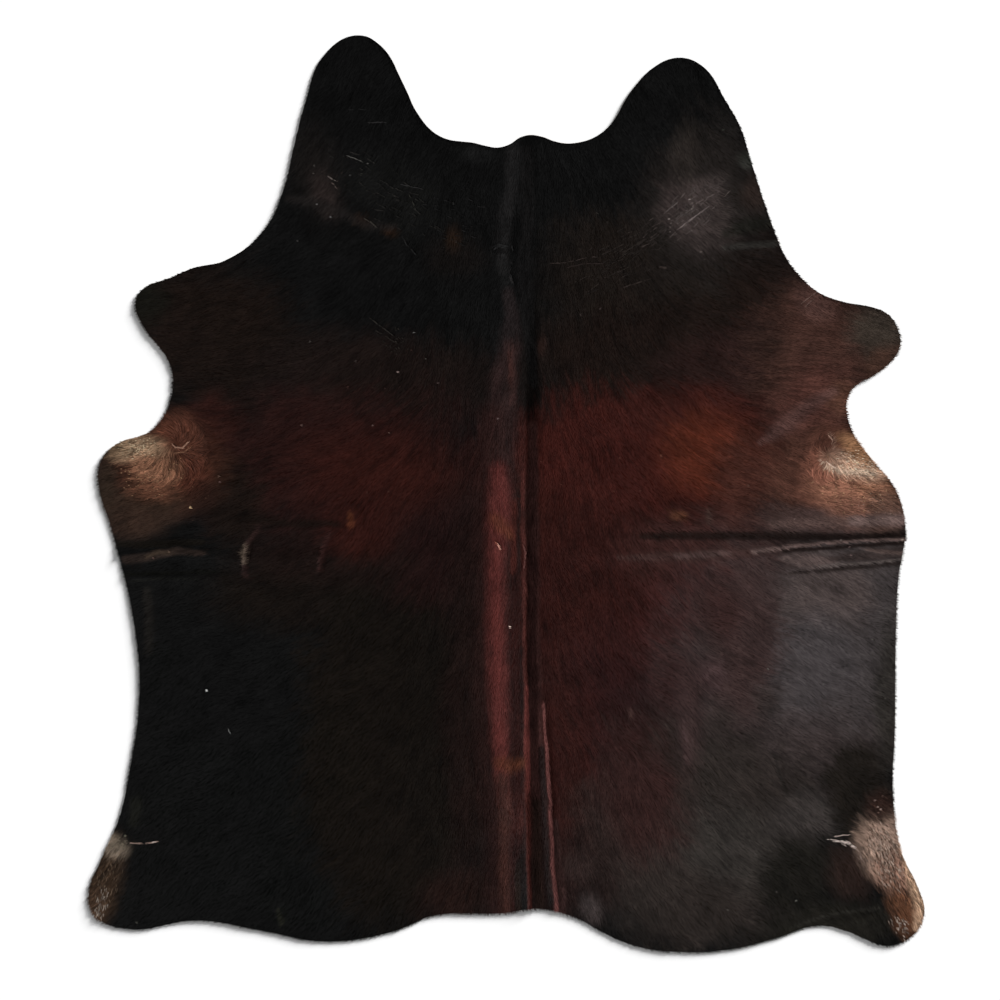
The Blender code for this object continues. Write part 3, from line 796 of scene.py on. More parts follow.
def combed(points):
    """The direction in which the hair lies at each point of the hide."""
    flow = np.zeros((len(points), 2))
    for x, y, across, back in COMBING:
        for side in (1.0, -1.0):
            gap = points - np.array([SPINE_X + side * (x - SPINE_X), y])
            weight = np.exp(-(gap**2).sum(axis=1) / (2 * COMB_REACH**2))
            flow += weight[:, None] * np.array([side * across, back])
    flow = unit(flow)
    for x, y, reach, twist in WHORLS.values():
        gap = points - np.array([x, y])
        far = np.linalg.norm(gap, axis=1) + 1e-6
        away = turned(gap, twist) / far[:, None]
        share = np.exp(-WHORL_FADE * (far / reach) ** 2)[:, None]
        flow += share * (away - flow)
    angle = np.arctan2(flow[:, 1], flow[:, 0]) + SWAY * drift(points, SWAY_SIZE, 5)
    return np.column_stack([np.cos(angle), np.sin(angle)])


def locks(points, flow, size, length, seed):
    """A random field drawn out along the hair, about -1 to 1, in streaks of a size and length."""
    stops = np.linspace(-0.5, 0.5, LOCK_STOPS)
    return sum(drift(points + stop * length * flow, size, seed, 2) for stop in stops) / LOCK_CALM


def coat_colour(points):
    """The colour of the hair at each point of the hide, with the tables' painted sheen, highlight and
    shade.
    """
    flow = combed(points)
    wander = np.column_stack([drift(points, WANDER_SIZE, 2), drift(points, WANDER_SIZE, 3)])
    fray = np.column_stack([drift(points, FRAY_SIZE, 6), drift(points, FRAY_SIZE, 7)])
    pull = locks(points, flow, PULL_SIZE, PULL_LENGTH, 10)[:, None] * flow
    stray = WANDER * wander + FRAY * fray + PULL * pull
    colour = np.tile(dye_and_painted_light(*NEAR_BLACK), (len(points), 1))
    for *place, strength, seen in COAT_PATCHES.values():
        loose = min(max(min(place[2:4]) / FULL_STRAY, LEAST_STRAY), MOST_STRAY)
        share = strength * patch(points + loose * stray, *place)[:, None]
        colour += share * (dye_and_painted_light(*seen) - colour)
    strayed = points + BAND_FRAY * FRAY * fray
    for softness, strength, seen, rows in COAT_BANDS.values():
        rows = np.array(rows)
        near, gap, _, here = beside(strayed, rows, 2 * rows[:, 2].max())
        share = strength * soften((1.0 + softness * 0.5 - gap / here[:, 2]) / softness)[:, None]
        colour[near] += share * (dye_and_painted_light(*seen) - colour[near])
    uneven = BLOTCH * drift(points, BLOTCH_SIZE, 4) + MOTTLE * drift(points, MOTTLE_SIZE, 11)
    uneven += STREAK * locks(points, flow, STREAK_SIZE, STREAK_LENGTH, 8)
    return colour * (1 + uneven)[:, None]


def write(mesh, name, kind, values):
    """Stores one value for each point of a mesh under a name."""
    values = np.ascontiguousarray(values, dtype=np.float32)
    field = {"FLOAT": "value", "FLOAT_VECTOR": "vector", "FLOAT_COLOR": "color"}[kind]
    mesh.attributes.new(name, kind, "POINT").data.foreach_set(field, values.ravel())


def write_bed(mesh, points, colour, flow, length, thick):
    """Stores what the hair on a bed needs: its colour, lie, share of length and thickness."""
    write(mesh, "coat", "FLOAT_COLOR", np.column_stack([colour, np.ones(len(points))]))
    write(mesh, "flow", "FLOAT_VECTOR", np.column_stack([flow, np.zeros(len(points))]))
    write(mesh, "length", "FLOAT", length)
    write(mesh, "thick", "FLOAT", thick)


TRIMMED = 0.016  # how far in from the rim the hair is cut shorter
SHORTEST = 0.45  # share of its length that a hair keeps at the rim
trimmed = SHORTEST + (1 - SHORTEST) * np.clip(nearest(plan, rim) / TRIMMED, 0.0, 1.0)
write_bed(bed, plan, coat_colour(plan), combed(plan), trimmed, np.ones(len(plan)))


class Wire:
    """An output of a node. Sums and products of wires add Math nodes to their tree."""

    def __init__(self, tree, socket=None):
        self.tree = tree
        self.socket = socket

    def node(self, kind, settings=None, values=None, output=0):
        """Adds a node, makes its settings, then fills its sockets with numbers or wires."""
        node = self.tree.nodes.new(kind)
        for name, value in (settings or {}).items():
            if name == "stops":
                ramp = node.color_ramp.elements
                while len(ramp) < len(value):
                    ramp.new(0.5)
                for element, (place, colour) in zip(ramp, value, strict=True):
                    element.position, element.color = place, (*colour, 1.0)
            else:
                setattr(node, name, value)
        open_sockets = [socket for socket in node.inputs if socket.enabled]
        for name, value in (values or {}).items():
            socket = open_sockets[name] if isinstance(name, int) else next(
                found for found in open_sockets if found.name == name
            )
            if isinstance(value, Wire):
                value.feed(socket)
            else:
                socket.default_value = value
        found = [socket for socket in node.outputs if socket.enabled]
        if isinstance(output, str):
            return Wire(self.tree, next(socket for socket in found if socket.name == output))
        return Wire(self.tree, found[output])

    def feed(self, socket):
        """Links the wire to a socket that is already there."""
        self.tree.links.new(self.socket, socket)

    def math(self, operation, first, second):
        return self.node("ShaderNodeMath", {"operation": operation}, {0: first, 1: second})

    def __add__(self, other):
        return self.math("ADD", self, other)

    def __radd__(self, other):
        return self.math("ADD", other, self)

    def __mul__(self, other):
        return self.math("MULTIPLY", self, other)

    def __rmul__(self, other):
        return self.math("MULTIPLY", other, self)


def finish_of(name, **constants):
    """A new material, its Principled shader with these constants, and a wire to write it with."""
    material = bpy.data.materials.new(name)
    material.use_nodes = True
    shader = material.node_tree.nodes["Principled BSDF"]
    for socket, value in constants.items():
        shader.inputs[socket.replace("_", " ")].default_value = value
    return material, shader, Wire(material.node_tree)


def grained(shader, wire, scale, detail, depth, strength):
    """Gives a finish the fine grain of its fibres, and returns its place and grain to mix from."""
    place = wire.node("ShaderNodeTexCoord", output="Object")
    grain = wire.node("ShaderNodeTexNoise", {}, {"Vector": place, "Scale": scale, "Detail": detail})
    bump = wire.node(
        "ShaderNodeBump", {}, {"Height": grain, "Distance": depth, "Strength": strength}
    )
    bump.feed(shader.inputs["Normal"])
    return place, grain


# Painted shade: the skin between the hairs is darkened against their colour.
ROOTS_SHADE = 0.6  # the skin between the hairs, against the hairs
roots, shader, wire = finish_of("hair_roots", Roughness=0.9, Specular_IOR_Level=0.02)
grained(shader, wire, scale=320.0, detail=3.0, depth=0.0006, strength=0.6)
colour = wire.node("ShaderNodeAttribute", {"attribute_name": "coat"}, output="Color")
deep = wire.node(
    "ShaderNodeMix", {"data_type": "RGBA", "blend_type": "MULTIPLY"},
    {"Factor": 1.0, "A": colour, "B": (ROOTS_SHADE, ROOTS_SHADE, ROOTS_SHADE, 1.0)},
    output="Result",
)
deep.feed(shader.inputs["Base Color"])

CLOUD_SCALE, CLOUD_SHARE = 7.0, 0.7  # the suede's slow clouds, and their share against its nap
SUEDE_DARK, SUEDE_LIGHT = (150, 128, 104), (186, 165, 140)
suede, shader, wire = finish_of("suede", Roughness=0.9, Specular_IOR_Level=0.2)
place, nap = grained(shader, wire, scale=260.0, detail=5.0, depth=0.0008, strength=0.8)
cloud = wire.node("ShaderNodeTexNoise", {}, {"Vector": place, "Scale": CLOUD_SCALE, "Detail": 4.0})
tan = wire.node(
    "ShaderNodeValToRGB",
    {"stops": ((0.35, shade(*SUEDE_DARK)), (0.65, shade(*SUEDE_LIGHT)))},
    {"Fac": CLOUD_SHARE * cloud + (1 - CLOUD_SHARE) * nap},
)
tan.feed(shader.inputs["Base Color"])

EDGE_COLOUR = (*shade(30, 22, 18), 1.0)
cut_edge, shader, wire = finish_of(
    "cut_edge", Base_Color=EDGE_COLOUR, Roughness=0.7, Specular_IOR_Level=0.25
)
grained(shader, wire, scale=500.0, detail=3.0, depth=0.0004, strength=0.7)


def add(name, data):
    """A new object in the scene."""
    thing = bpy.data.objects.new(name, data)
    bpy.context.scene.collection.objects.link(thing)
    return thing


def settle(thing):
    """Turns what an object's modifiers make into its own plain mesh."""
    thing.data = bpy.data.meshes.new_from_object(
        thing.evaluated_get(bpy.context.evaluated_depsgraph_get())
    )
    thing.modifiers.clear()


leather = bed.copy()
for finish in (roots, suede, cut_edge):
    leather.materials.append(finish)
hide = add("leather", leather)
shell = hide.modifiers.new("thickness", "SOLIDIFY")
shell.thickness = SKIN
shell.offset = -1.0
shell.material_offset = 1
shell.material_offset_rim = 2
settle(hide)

# ---------------------------------------------------------------- the coat
# Short, straight hair about 14 mm long, still in the skin. It lies flat and overlaps like
# roof tiles, from the spine outwards and from the neck to the tail.
HAIR_LENGTH, HAIR_WIDTH = 0.014, 0.0014
HAIR_DENSITY = 135000.0  # hairs, or locks of a few hairs, in a square metre
HAIR_LIFT, LIFT_SPREAD = 5.0, 0.2  # degrees between a hair and the skin, and the share it varies by
HAIR_TURN, HAIR_ROLL = 8.0, 4.0  # degrees that a hair strays to its sides and about itself
HAIR_UNEVEN = 0.25  # share by which one hair's length strays from the next
BLADE_WIDEST = 0.35  # share of its length where a hair is widest
BLADE_CREST = 0.006  # height of its crest over its edges, as a share of its length
TONE = 0.12  # how far one hair's tone strays from the next
MAP_MARGIN = 0.005  # share of a piece's own map left free along each edge


class Blade:
    """A hair of length 1 along +Y and width 1, for the tree to set out, and how dark or light
    each of its points is painted: painted shade towards the root, painted highlight towards the tip."""

    def __init__(self, name, points, faces, tones):
        mesh = bpy.data.meshes.new(name)
        mesh.from_pydata(points, [], faces)
        self.object = add(name, mesh)
        self.tones = np.array(tones)


short_hair = Blade(
    "short_hair",
    [
        (0, 0, 0), (0.5, BLADE_WIDEST, -BLADE_CREST),
        (0, 1, 0), (-0.5, BLADE_WIDEST, -BLADE_CREST),
    ],
    [(0, 1, 2), (0, 2, 3)],
    # Painted shade at the root, where the hair lies under the others, painted highlight at the tip.
    tones=(0.80, 1.0, 1.12, 1.0),
)


def hair_tree():
    """Sets hairs out over a bed. Each lies along the bed's flow, raised by the lift, with its own
    small turn, roll and size."""
    tree = bpy.data.node_groups.new("set_out_hair", "GeometryNodeTree")
    face = tree.interface
    face.new_socket(name="Bed", in_out="INPUT", socket_type="NodeSocketGeometry")
    face.new_socket(name="Hair", in_out="INPUT", socket_type="NodeSocketObject")
    for name in ("Density", "Length", "Width", "Lift", "Turn", "Roll", "Uneven"):
        face.new_socket(name=name, in_out="INPUT", socket_type="NodeSocketFloat")
    face.new_socket(name="Seed", in_out="INPUT", socket_type="NodeSocketInt")
    face.new_socket(name="Finish", in_out="INPUT", socket_type="NodeSocketMaterial")
    face.new_socket(name="Coat", in_out="OUTPUT", socket_type="NodeSocketGeometry")
    wire = Wire(tree)
    given = tree.nodes.new("NodeGroupInput")
    asked = {socket.name: Wire(tree, socket) for socket in given.outputs if socket.name}

    def field(name, kind="FLOAT"):
        return wire.node("GeometryNodeInputNamedAttribute", {"data_type": kind}, {"Name": name})

    def random(low, high, step):
        return wire.node(
            "FunctionNodeRandomValue", {"data_type": "FLOAT"},
            {"Min": low, "Max": high, "Seed": asked["Seed"] + step},
        )

    spots = wire.node(
        "GeometryNodeDistributePointsOnFaces", {},
        {"Mesh": asked["Bed"], "Density": asked["Density"] * field("thick"), "Seed": asked["Seed"]},
    )
    normal = Wire(tree, spots.socket.node.outputs["Normal"])
    upright = wire.node("FunctionNodeAlignRotationToVector", {"axis": "Z"}, {"Vector": normal})
    along = wire.node(
        "FunctionNodeAlignRotationToVector", {"axis": "Y", "pivot_axis": "Z"},
        {"Rotation": upright, "Vector": field("flow", "FLOAT_VECTOR")},
    )
    lean = wire.node("ShaderNodeCombineXYZ", {}, {
        "X": asked["Lift"] * random(1 - LIFT_SPREAD, 1 + LIFT_SPREAD, 1),
        "Y": asked["Roll"] * random(-1.0, 1.0, 2),
        "Z": asked["Turn"] * random(-1.0, 1.0, 3),
    })
    leant = wire.node("FunctionNodeEulerToRotation", {}, {"Euler": lean})
    laid = wire.node(
        "FunctionNodeRotateRotation", {"rotation_space": "LOCAL"},
        {"Rotation": along, "Rotate By": leant},
    )
    long = asked["Length"] * field("length") * (1.0 + asked["Uneven"] * random(-1.0, 1.0, 4))
    size = wire.node("ShaderNodeCombineXYZ", {}, {"X": asked["Width"], "Y": long, "Z": long})
    hair = wire.node("GeometryNodeObjectInfo", {}, {"Object": asked["Hair"]}, output="Geometry")
    hairs = wire.node(
        "GeometryNodeInstanceOnPoints", {},
        {"Points": spots, "Instance": hair, "Rotation": laid, "Scale": size},
    )
    real = wire.node("GeometryNodeRealizeInstances", {}, {"Geometry": hairs})
    made = wire.node("GeometryNodeSetMaterial", {}, {"Geometry": real, "Material": asked["Finish"]})
    result = tree.nodes.new("NodeGroupOutput")
    made.feed(result.inputs["Coat"])
    return tree


def read(items, name, parts=1, kind=np.float32):
    """A row of numbers for each of a mesh's points or corners."""
    values = np.empty(len(items) * parts, kind)
    items.foreach_get(name, values)
    return values.reshape(-1, parts)


def tint(mesh, blade, colour, seed):
    """Gives each hair one colour where it grows, from a rule or else from the bed, with a stray of
    its own and the blade's painted shade and highlight from root to tip."""
    step = len(blade.tones)
    if colour:
        own = colour(read(mesh.vertices, "co", 3)[::step, :2].astype(float))
    else:
        own = read(mesh.attributes["coat"].data, "color", 4)[::step, :3]
    strays = np.random.default_rng(seed).uniform(1 - TONE, 1 + TONE, len(own))
    tones = (strays[:, None] * blade.tones).ravel()
    own = np.repeat(own, step, axis=0) * tones[:, None]
    for spare in ("coat", "flow", "length", "thick"):
        if spare in mesh.attributes:
            mesh.attributes.remove(mesh.attributes[spare])
    write(mesh, "coat", "FLOAT_COLOR", np.column_stack([np.clip(own, 0.0, 1.0), np.ones(len(own))]))


def map_flat(mesh):
    """Gives a piece its own map, on which it lies as it does on the floor."""
    place = read(mesh.vertices, "co", 3)[:, :2]
    low, high = place.min(axis=0), place.max(axis=0)
    spread = MAP_MARGIN + (1 - 2 * MAP_MARGIN) * (place - low) / (high - low)
    corners = read(mesh.loops, "vertex_index", kind=np.int32).ravel()
    mesh.uv_layers.new(name="OFBake").data.foreach_set("uv", spread[corners].ravel())


def grow(name, bed_mesh, blade, colour=None, **inputs):
    """A piece of coat: the hairs of a bed, as a plain mesh. Lift, turn and roll are in degrees."""
    piece = add(name, bed_mesh)
    setter = piece.modifiers.new("hair", "NODES")
    setter.node_group = set_out
    inputs.update(Hair=blade.object, Finish=hair_finish)
    for angle in ("Lift", "Turn", "Roll"):
        inputs[angle] = math.radians(inputs[angle])
    for item in set_out.interface.items_tree:
        if item.in_out == "INPUT" and item.name in inputs:
            setter[item.identifier] = inputs[item.name]
    bpy.context.view_layer.update()
    settle(piece)
    tint(piece.data, blade, colour, inputs["Seed"])
    map_flat(piece.data)
    piece.data.name = name
    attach(piece, "root")
    return piece


def part_of(mesh, kept, raised=0.0):
    """A copy of the faces of a mesh whose numbers are kept, raised by a height."""
    shape = bmesh.new()
    shape.from_mesh(mesh)
    shape.faces.ensure_lookup_table()
    dropped = [face for face in shape.faces if not kept[face.index]]
    bmesh.ops.delete(shape, geom=dropped, context="FACES")
    for vert in shape.verts:
        vert.co.z += raised
    own = bpy.data.meshes.new("own_bed")
    shape.to_mesh(own)
    shape.free()
    return own


hair_finish, shader, wire = finish_of("hair", Roughness=0.55, Specular_IOR_Level=0.08)
colour = wire.node("ShaderNodeAttribute", {"attribute_name": "coat"}, output="Color")
colour.feed(shader.inputs["Base Color"])

SPLIT_Y = (0.42, -0.30)  # where the coat is parted into shoulders, flanks and rump
set_out = hair_tree()
centres = np.array([polygon.center[:2] for polygon in bed.polygons])
level = (centres[:, 1] < SPLIT_Y[0]).astype(int) + (centres[:, 1] < SPLIT_Y[1])
coat_pieces = []
for index, part in enumerate(("shoulder", "flank", "rump")):
    for side, on_side in (("left", centres[:, 0] < SPINE_X), ("right", centres[:, 0] >= SPINE_X)):
        coat_pieces.append(grow(
            f"{side}_{part}_coat", part_of(bed, (level == index) & on_side), short_hair, coat_colour,
            Density=HAIR_DENSITY, Length=HAIR_LENGTH, Width=HAIR_WIDTH, Lift=HAIR_LIFT,
            Turn=HAIR_TURN, Roll=HAIR_ROLL, Uneven=HAIR_UNEVEN, Seed=10 * len(coat_pieces) + 1,
        ))

# ---------------------------------------------------------------- the long pale hair
# At the elbows and the hind shanks the animal was pale, and its hair is longer and finer there.
# It turns out of a whorl and lies in loose locks over the short coat. The dye took less on it.
LONG_LENGTH, LONG_WIDTH = 0.017, 0.0009
LONG_DENSITY = 90000.0  # hairs in a square metre
LONG_LIFT, LONG_TURN, LONG_ROLL, LONG_UNEVEN = 3.0, 16.0, 18.0, 0.35  # as for the short coat
LONG_SEED = 100  # of the first patch, and 10 more for each one after it
LONG_RAISED = 0.0016  # that the bed of the long hair lies over that of the short hair
LOCK, LOCK_SIZE, LOCK_LENGTH = 0.7, 0.0035, 0.014  # strength, size and length of its locks
LOCK_DARK, LOCK_LIGHT = 0.3, 2.2  # the most that a lock darkens or lightens its hair
LONG_LEAST = 0.04  # share of a patch below which none grows
# Middle (x, y), half width, half length, turn and softness of each patch.
LONG_PATCHES = {
    "left_elbow": (-0.810, 0.070, 0.105, 0.070, -8, 1.2),
    "right_elbow": (0.785, 0.030, 0.092, 0.062, -20, 1.2),
    "left_shank": (-0.908, -0.875, 0.042, 0.100, -16, 1.0),
    "right_shank": (0.883, -0.840, 0.050, 0.135, 17, 1.0),
}
# Place along a long hair, half width and height of its two stations, and its tip's height.
LONG_STATIONS, LONG_TIP = ((0.30, 0.50, 0.020), (0.68, 0.36, 0.026)), 0.004
long_hair = Blade(
    "long_hair",
    [
        (0, 0, 0),
        *((side * half, place, z) for place, half, z in LONG_STATIONS for side in (1, -1)),
        (0, 1, LONG_TIP),
    ],
    [(0, 1, 2), (1, 3, 4, 2), (3, 5, 4)],
    # Painted shade at the root, where the hair lies under the others, painted highlight at the tip.
    tones=(0.75, 0.95, 0.95, 1.05, 1.05, 1.15),
)


def long_colour(points):
    """The colour of the long hair: that of the coat, light and dark by locks."""
    lock = locks(points, combed(points), LOCK_SIZE, LOCK_LENGTH, 9)
    return coat_colour(points) * np.clip(1 + LOCK * lock, LOCK_DARK, LOCK_LIGHT)[:, None]


for index, (name, place) in enumerate(LONG_PATCHES.items()):
    share = patch(plan, *place)
    corners = [share[list(polygon.vertices)].max() for polygon in bed.polygons]
    own_bed = part_of(bed, np.array(corners) > LONG_LEAST, LONG_RAISED)
    spots = read(own_bed.vertices, "co", 3)[:, :2].astype(float)
    own_bed.attributes["thick"].data.foreach_set("value", patch(spots, *place).astype(np.float32))
    coat_pieces.append(grow(
        f"{name}_hair", own_bed, long_hair, long_colour,
        Density=LONG_DENSITY, Length=LONG_LENGTH, Width=LONG_WIDTH, Lift=LONG_LIFT,
        Turn=LONG_TURN, Roll=LONG_ROLL, Uneven=LONG_UNEVEN, Seed=LONG_SEED + 10 * index,
    ))

# ---------------------------------------------------------------- scars and flecks
# Thorns and wire left their lines in the living hide: the hair over a scar grew back pale and
# lies along it. Other pale and dark hairs stand alone or in tufts that the dye took otherwise.
# Each line has its colour, its hairs' length, and rows of a place (x, y) and a half width. The
# lines on the swirl and the lens of the spine are painted highlight on those creases instead.
SCARS = {
    "upper scratch on the right of the neck": ((84, 76, 74), 0.009, (
        (0.355, 0.634, 0.0006), (0.371, 0.650, 0.0008), (0.387, 0.662, 0.0006),
    )),
    "long scratch on the right of the neck": ((108, 98, 96), 0.009, (
        (0.387, 0.600, 0.0007), (0.410, 0.618, 0.0010), (0.432, 0.634, 0.0009), (0.457, 0.652, 0.0006),
    )),
    "line over the long scratch": ((84, 74, 72), 0.009, (
        (0.428, 0.659, 0.0005), (0.451, 0.673, 0.0006), (0.480, 0.687, 0.0007),
    )),
    "lower line on the right of the neck": ((38, 33, 30), 0.009, (
        (0.259, 0.543, 0.0006), (0.284, 0.561, 0.0006), (0.316, 0.579, 0.0006),
    )),
    "line beside it": ((36, 31, 28), 0.009, (
        (0.279, 0.529, 0.0005), (0.307, 0.552, 0.0005), (0.332, 0.566, 0.0005),
    )),
    "scratch right of the spine": ((48, 41, 38), 0.009, (
        (0.094, 0.525, 0.0006), (0.135, 0.527, 0.0006), (0.172, 0.536, 0.0006), (0.206, 0.541, 0.0005),
    )),
    "scratch under it": ((40, 33, 31), 0.009, (
        (0.135, 0.515, 0.0005), (0.177, 0.525, 0.0005), (0.213, 0.525, 0.0005),
    )),
    "short scratch on the right shoulder": ((46, 39, 36), 0.009, (
        (0.263, 0.470, 0.0006), (0.291, 0.479, 0.0007), (0.323, 0.488, 0.0006),
    )),
    "smear on the right of the neck": ((54, 46, 43), 0.007, (
        (0.345, 0.518, 0.0018), (0.355, 0.516, 0.0020), (0.366, 0.515, 0.0018),
    )),
    "first pale line of the right shoulder": ((94, 74, 68), 0.008, (
        (0.670, 0.431, 0.0006), (0.686, 0.445, 0.0008), (0.702, 0.456, 0.0006),
    )),
    "second pale line of the right shoulder": ((86, 66, 61), 0.008, (
        (0.679, 0.424, 0.0006), (0.693, 0.438, 0.0007), (0.706, 0.447, 0.0006),
    )),
    "streak on the left of the neck": ((74, 72, 69), 0.007, (
        (-0.372, 0.774, 0.0007), (-0.351, 0.766, 0.0008), (-0.335, 0.760, 0.0005), (-0.319, 0.754, 0.0008),
    )),
    "swirl on the left of the neck": ((90, 82, 78), 0.007, (
        (-0.410, 0.726, 0.0010), (-0.401, 0.720, 0.0012), (-0.390, 0.714, 0.0009),
    )),
    "end of that swirl": ((68, 59, 55), 0.007, (
        (-0.408, 0.714, 0.0009), (-0.397, 0.707, 0.0010), (-0.390, 0.698, 0.0008),
    )),
    "dash on the left of the neck": ((35, 34, 34), 0.008, (
        (-0.319, 0.846, 0.0006), (-0.301, 0.847, 0.0008), (-0.281, 0.848, 0.0006),
    )),
    "upper dash on the left": ((28, 28, 28), 0.008, (
        (-0.369, 0.876, 0.0006), (-0.319, 0.877, 0.0007),
    )),
    "scratch on the left": ((52, 48, 44), 0.008, (
        (-0.330, 0.630, 0.0008), (-0.314, 0.622, 0.0010), (-0.301, 0.611, 0.0007),
    )),
    "curl on the left": ((44, 37, 33), 0.007, (
        (-0.265, 0.609, 0.0007), (-0.256, 0.610, 0.0009), (-0.247, 0.605, 0.0006),
    )),
    "curve on the left": ((31, 30, 30), 0.009, (
        (-0.240, 0.589, 0.0007), (-0.228, 0.568, 0.0008), (-0.208, 0.546, 0.0007),
    )),
    "line on the left": ((42, 41, 41), 0.008, (
        (-0.244, 0.706, 0.0005), (-0.235, 0.704, 0.0009), (-0.216, 0.700, 0.0006), (-0.196, 0.696, 0.0008),
    )),
    "line below it": ((41, 40, 36), 0.008, (
        (-0.224, 0.684, 0.0007), (-0.216, 0.668, 0.0007), (-0.209, 0.652, 0.0009),
    )),
    # Painted highlight on the swirl on the spine and under it.
    "painted highlight on the swirl of the spine": ((28, 28, 28), 0.008, (
        (-0.034, 0.557, 0.0030), (-0.018, 0.566, 0.0040), (-0.002, 0.563, 0.0030),
    )),
    "painted highlight at the swirl's edge": ((42, 42, 41), 0.007, (
        (0.010, 0.568, 0.0009), (0.013, 0.557, 0.0010),
    )),
    "painted highlight below the swirl": ((28, 27, 27), 0.008, (
        (0.014, 0.529, 0.0022), (0.005, 0.506, 0.0022), (0.012, 0.483, 0.0020),
    )),
    "scratch on the left shoulder": ((40, 37, 34), 0.007, (
        (-0.317, 0.404, 0.0006), (-0.289, 0.383, 0.0007), (-0.262, 0.363, 0.0006),
    )),
    "second scratch on the left shoulder": ((36, 32, 29), 0.007, (
        (-0.303, 0.374, 0.0006), (-0.280, 0.362, 0.0006), (-0.253, 0.344, 0.0006),
    )),
    "curl of the knot on the spine": ((120, 68, 54), 0.007, (
        (-0.029, -0.108, 0.0014), (-0.021, -0.115, 0.0020), (-0.015, -0.126, 0.0014),
    )),
    "bright hair of the knot": ((184, 138, 124), 0.006, (
        (-0.023, -0.111, 0.0009), (-0.018, -0.119, 0.0012), (-0.014, -0.129, 0.0009),
    )),
    # Painted highlight on the lens of the spine's crest.
    "lens on the spine": ((82, 50, 46), 0.008, (
        (0.037, -0.113, 0.0010), (0.043, -0.133, 0.0013), (0.040, -0.165, 0.0010),
    )),
    "white dash on the left belly": ((96, 96, 95), 0.005, (
        (-0.637, -0.536, 0.0009), (-0.632, -0.544, 0.0010),
    )),
    "white tuft of the right thigh": ((196, 180, 172), 0.007, (
        (0.726, -0.787, 0.0008), (0.743, -0.791, 0.0022), (0.764, -0.793, 0.0014),
        (0.782, -0.799, 0.0020), (0.793, -0.806, 0.0012),
    )),
    "upper hairs of that tuft": ((150, 134, 127), 0.008, (
        (0.745, -0.783, 0.0006), (0.764, -0.780, 0.0010), (0.788, -0.778, 0.0007),
    )),
    "lower hairs of that tuft": ((132, 114, 106), 0.008, (
        (0.779, -0.802, 0.0008), (0.800, -0.812, 0.0012), (0.808, -0.830, 0.0010),
    )),
    "tuft of the left thigh": ((126, 106, 98), 0.006, (
        (-0.862, -0.797, 0.0010), (-0.838, -0.798, 0.0013),
        (-0.815, -0.797, 0.0013), (-0.799, -0.794, 0.0008),
    )),
    "bright end of that tuft": ((196, 186, 180), 0.005, (
        (-0.812, -0.796, 0.0009), (-0.801, -0.794, 0.0012),
    )),
    "curl of the left elbow": ((132, 100, 84), 0.008, (
        (-0.767, 0.120, 0.0008), (-0.758, 0.107, 0.0010), (-0.742, 0.104, 0.0010), (-0.728, 0.116, 0.0008),
    )),
    "second curl of the left elbow": ((108, 76, 58), 0.008, (
        (-0.778, 0.097, 0.0008), (-0.760, 0.092, 0.0009), (-0.737, 0.095, 0.0009), (-0.719, 0.109, 0.0007),
    )),
    "curl over the right elbow": ((140, 110, 96), 0.007, (
        (0.732, 0.136, 0.0008), (0.743, 0.123, 0.0010), (0.740, 0.100, 0.0008),
    )),
    "start of the pale ridge": ((204, 178, 160), 0.008, (
        (0.727, 0.075, 0.0009), (0.738, 0.066, 0.0012), (0.757, 0.056, 0.0012),
    )),
}
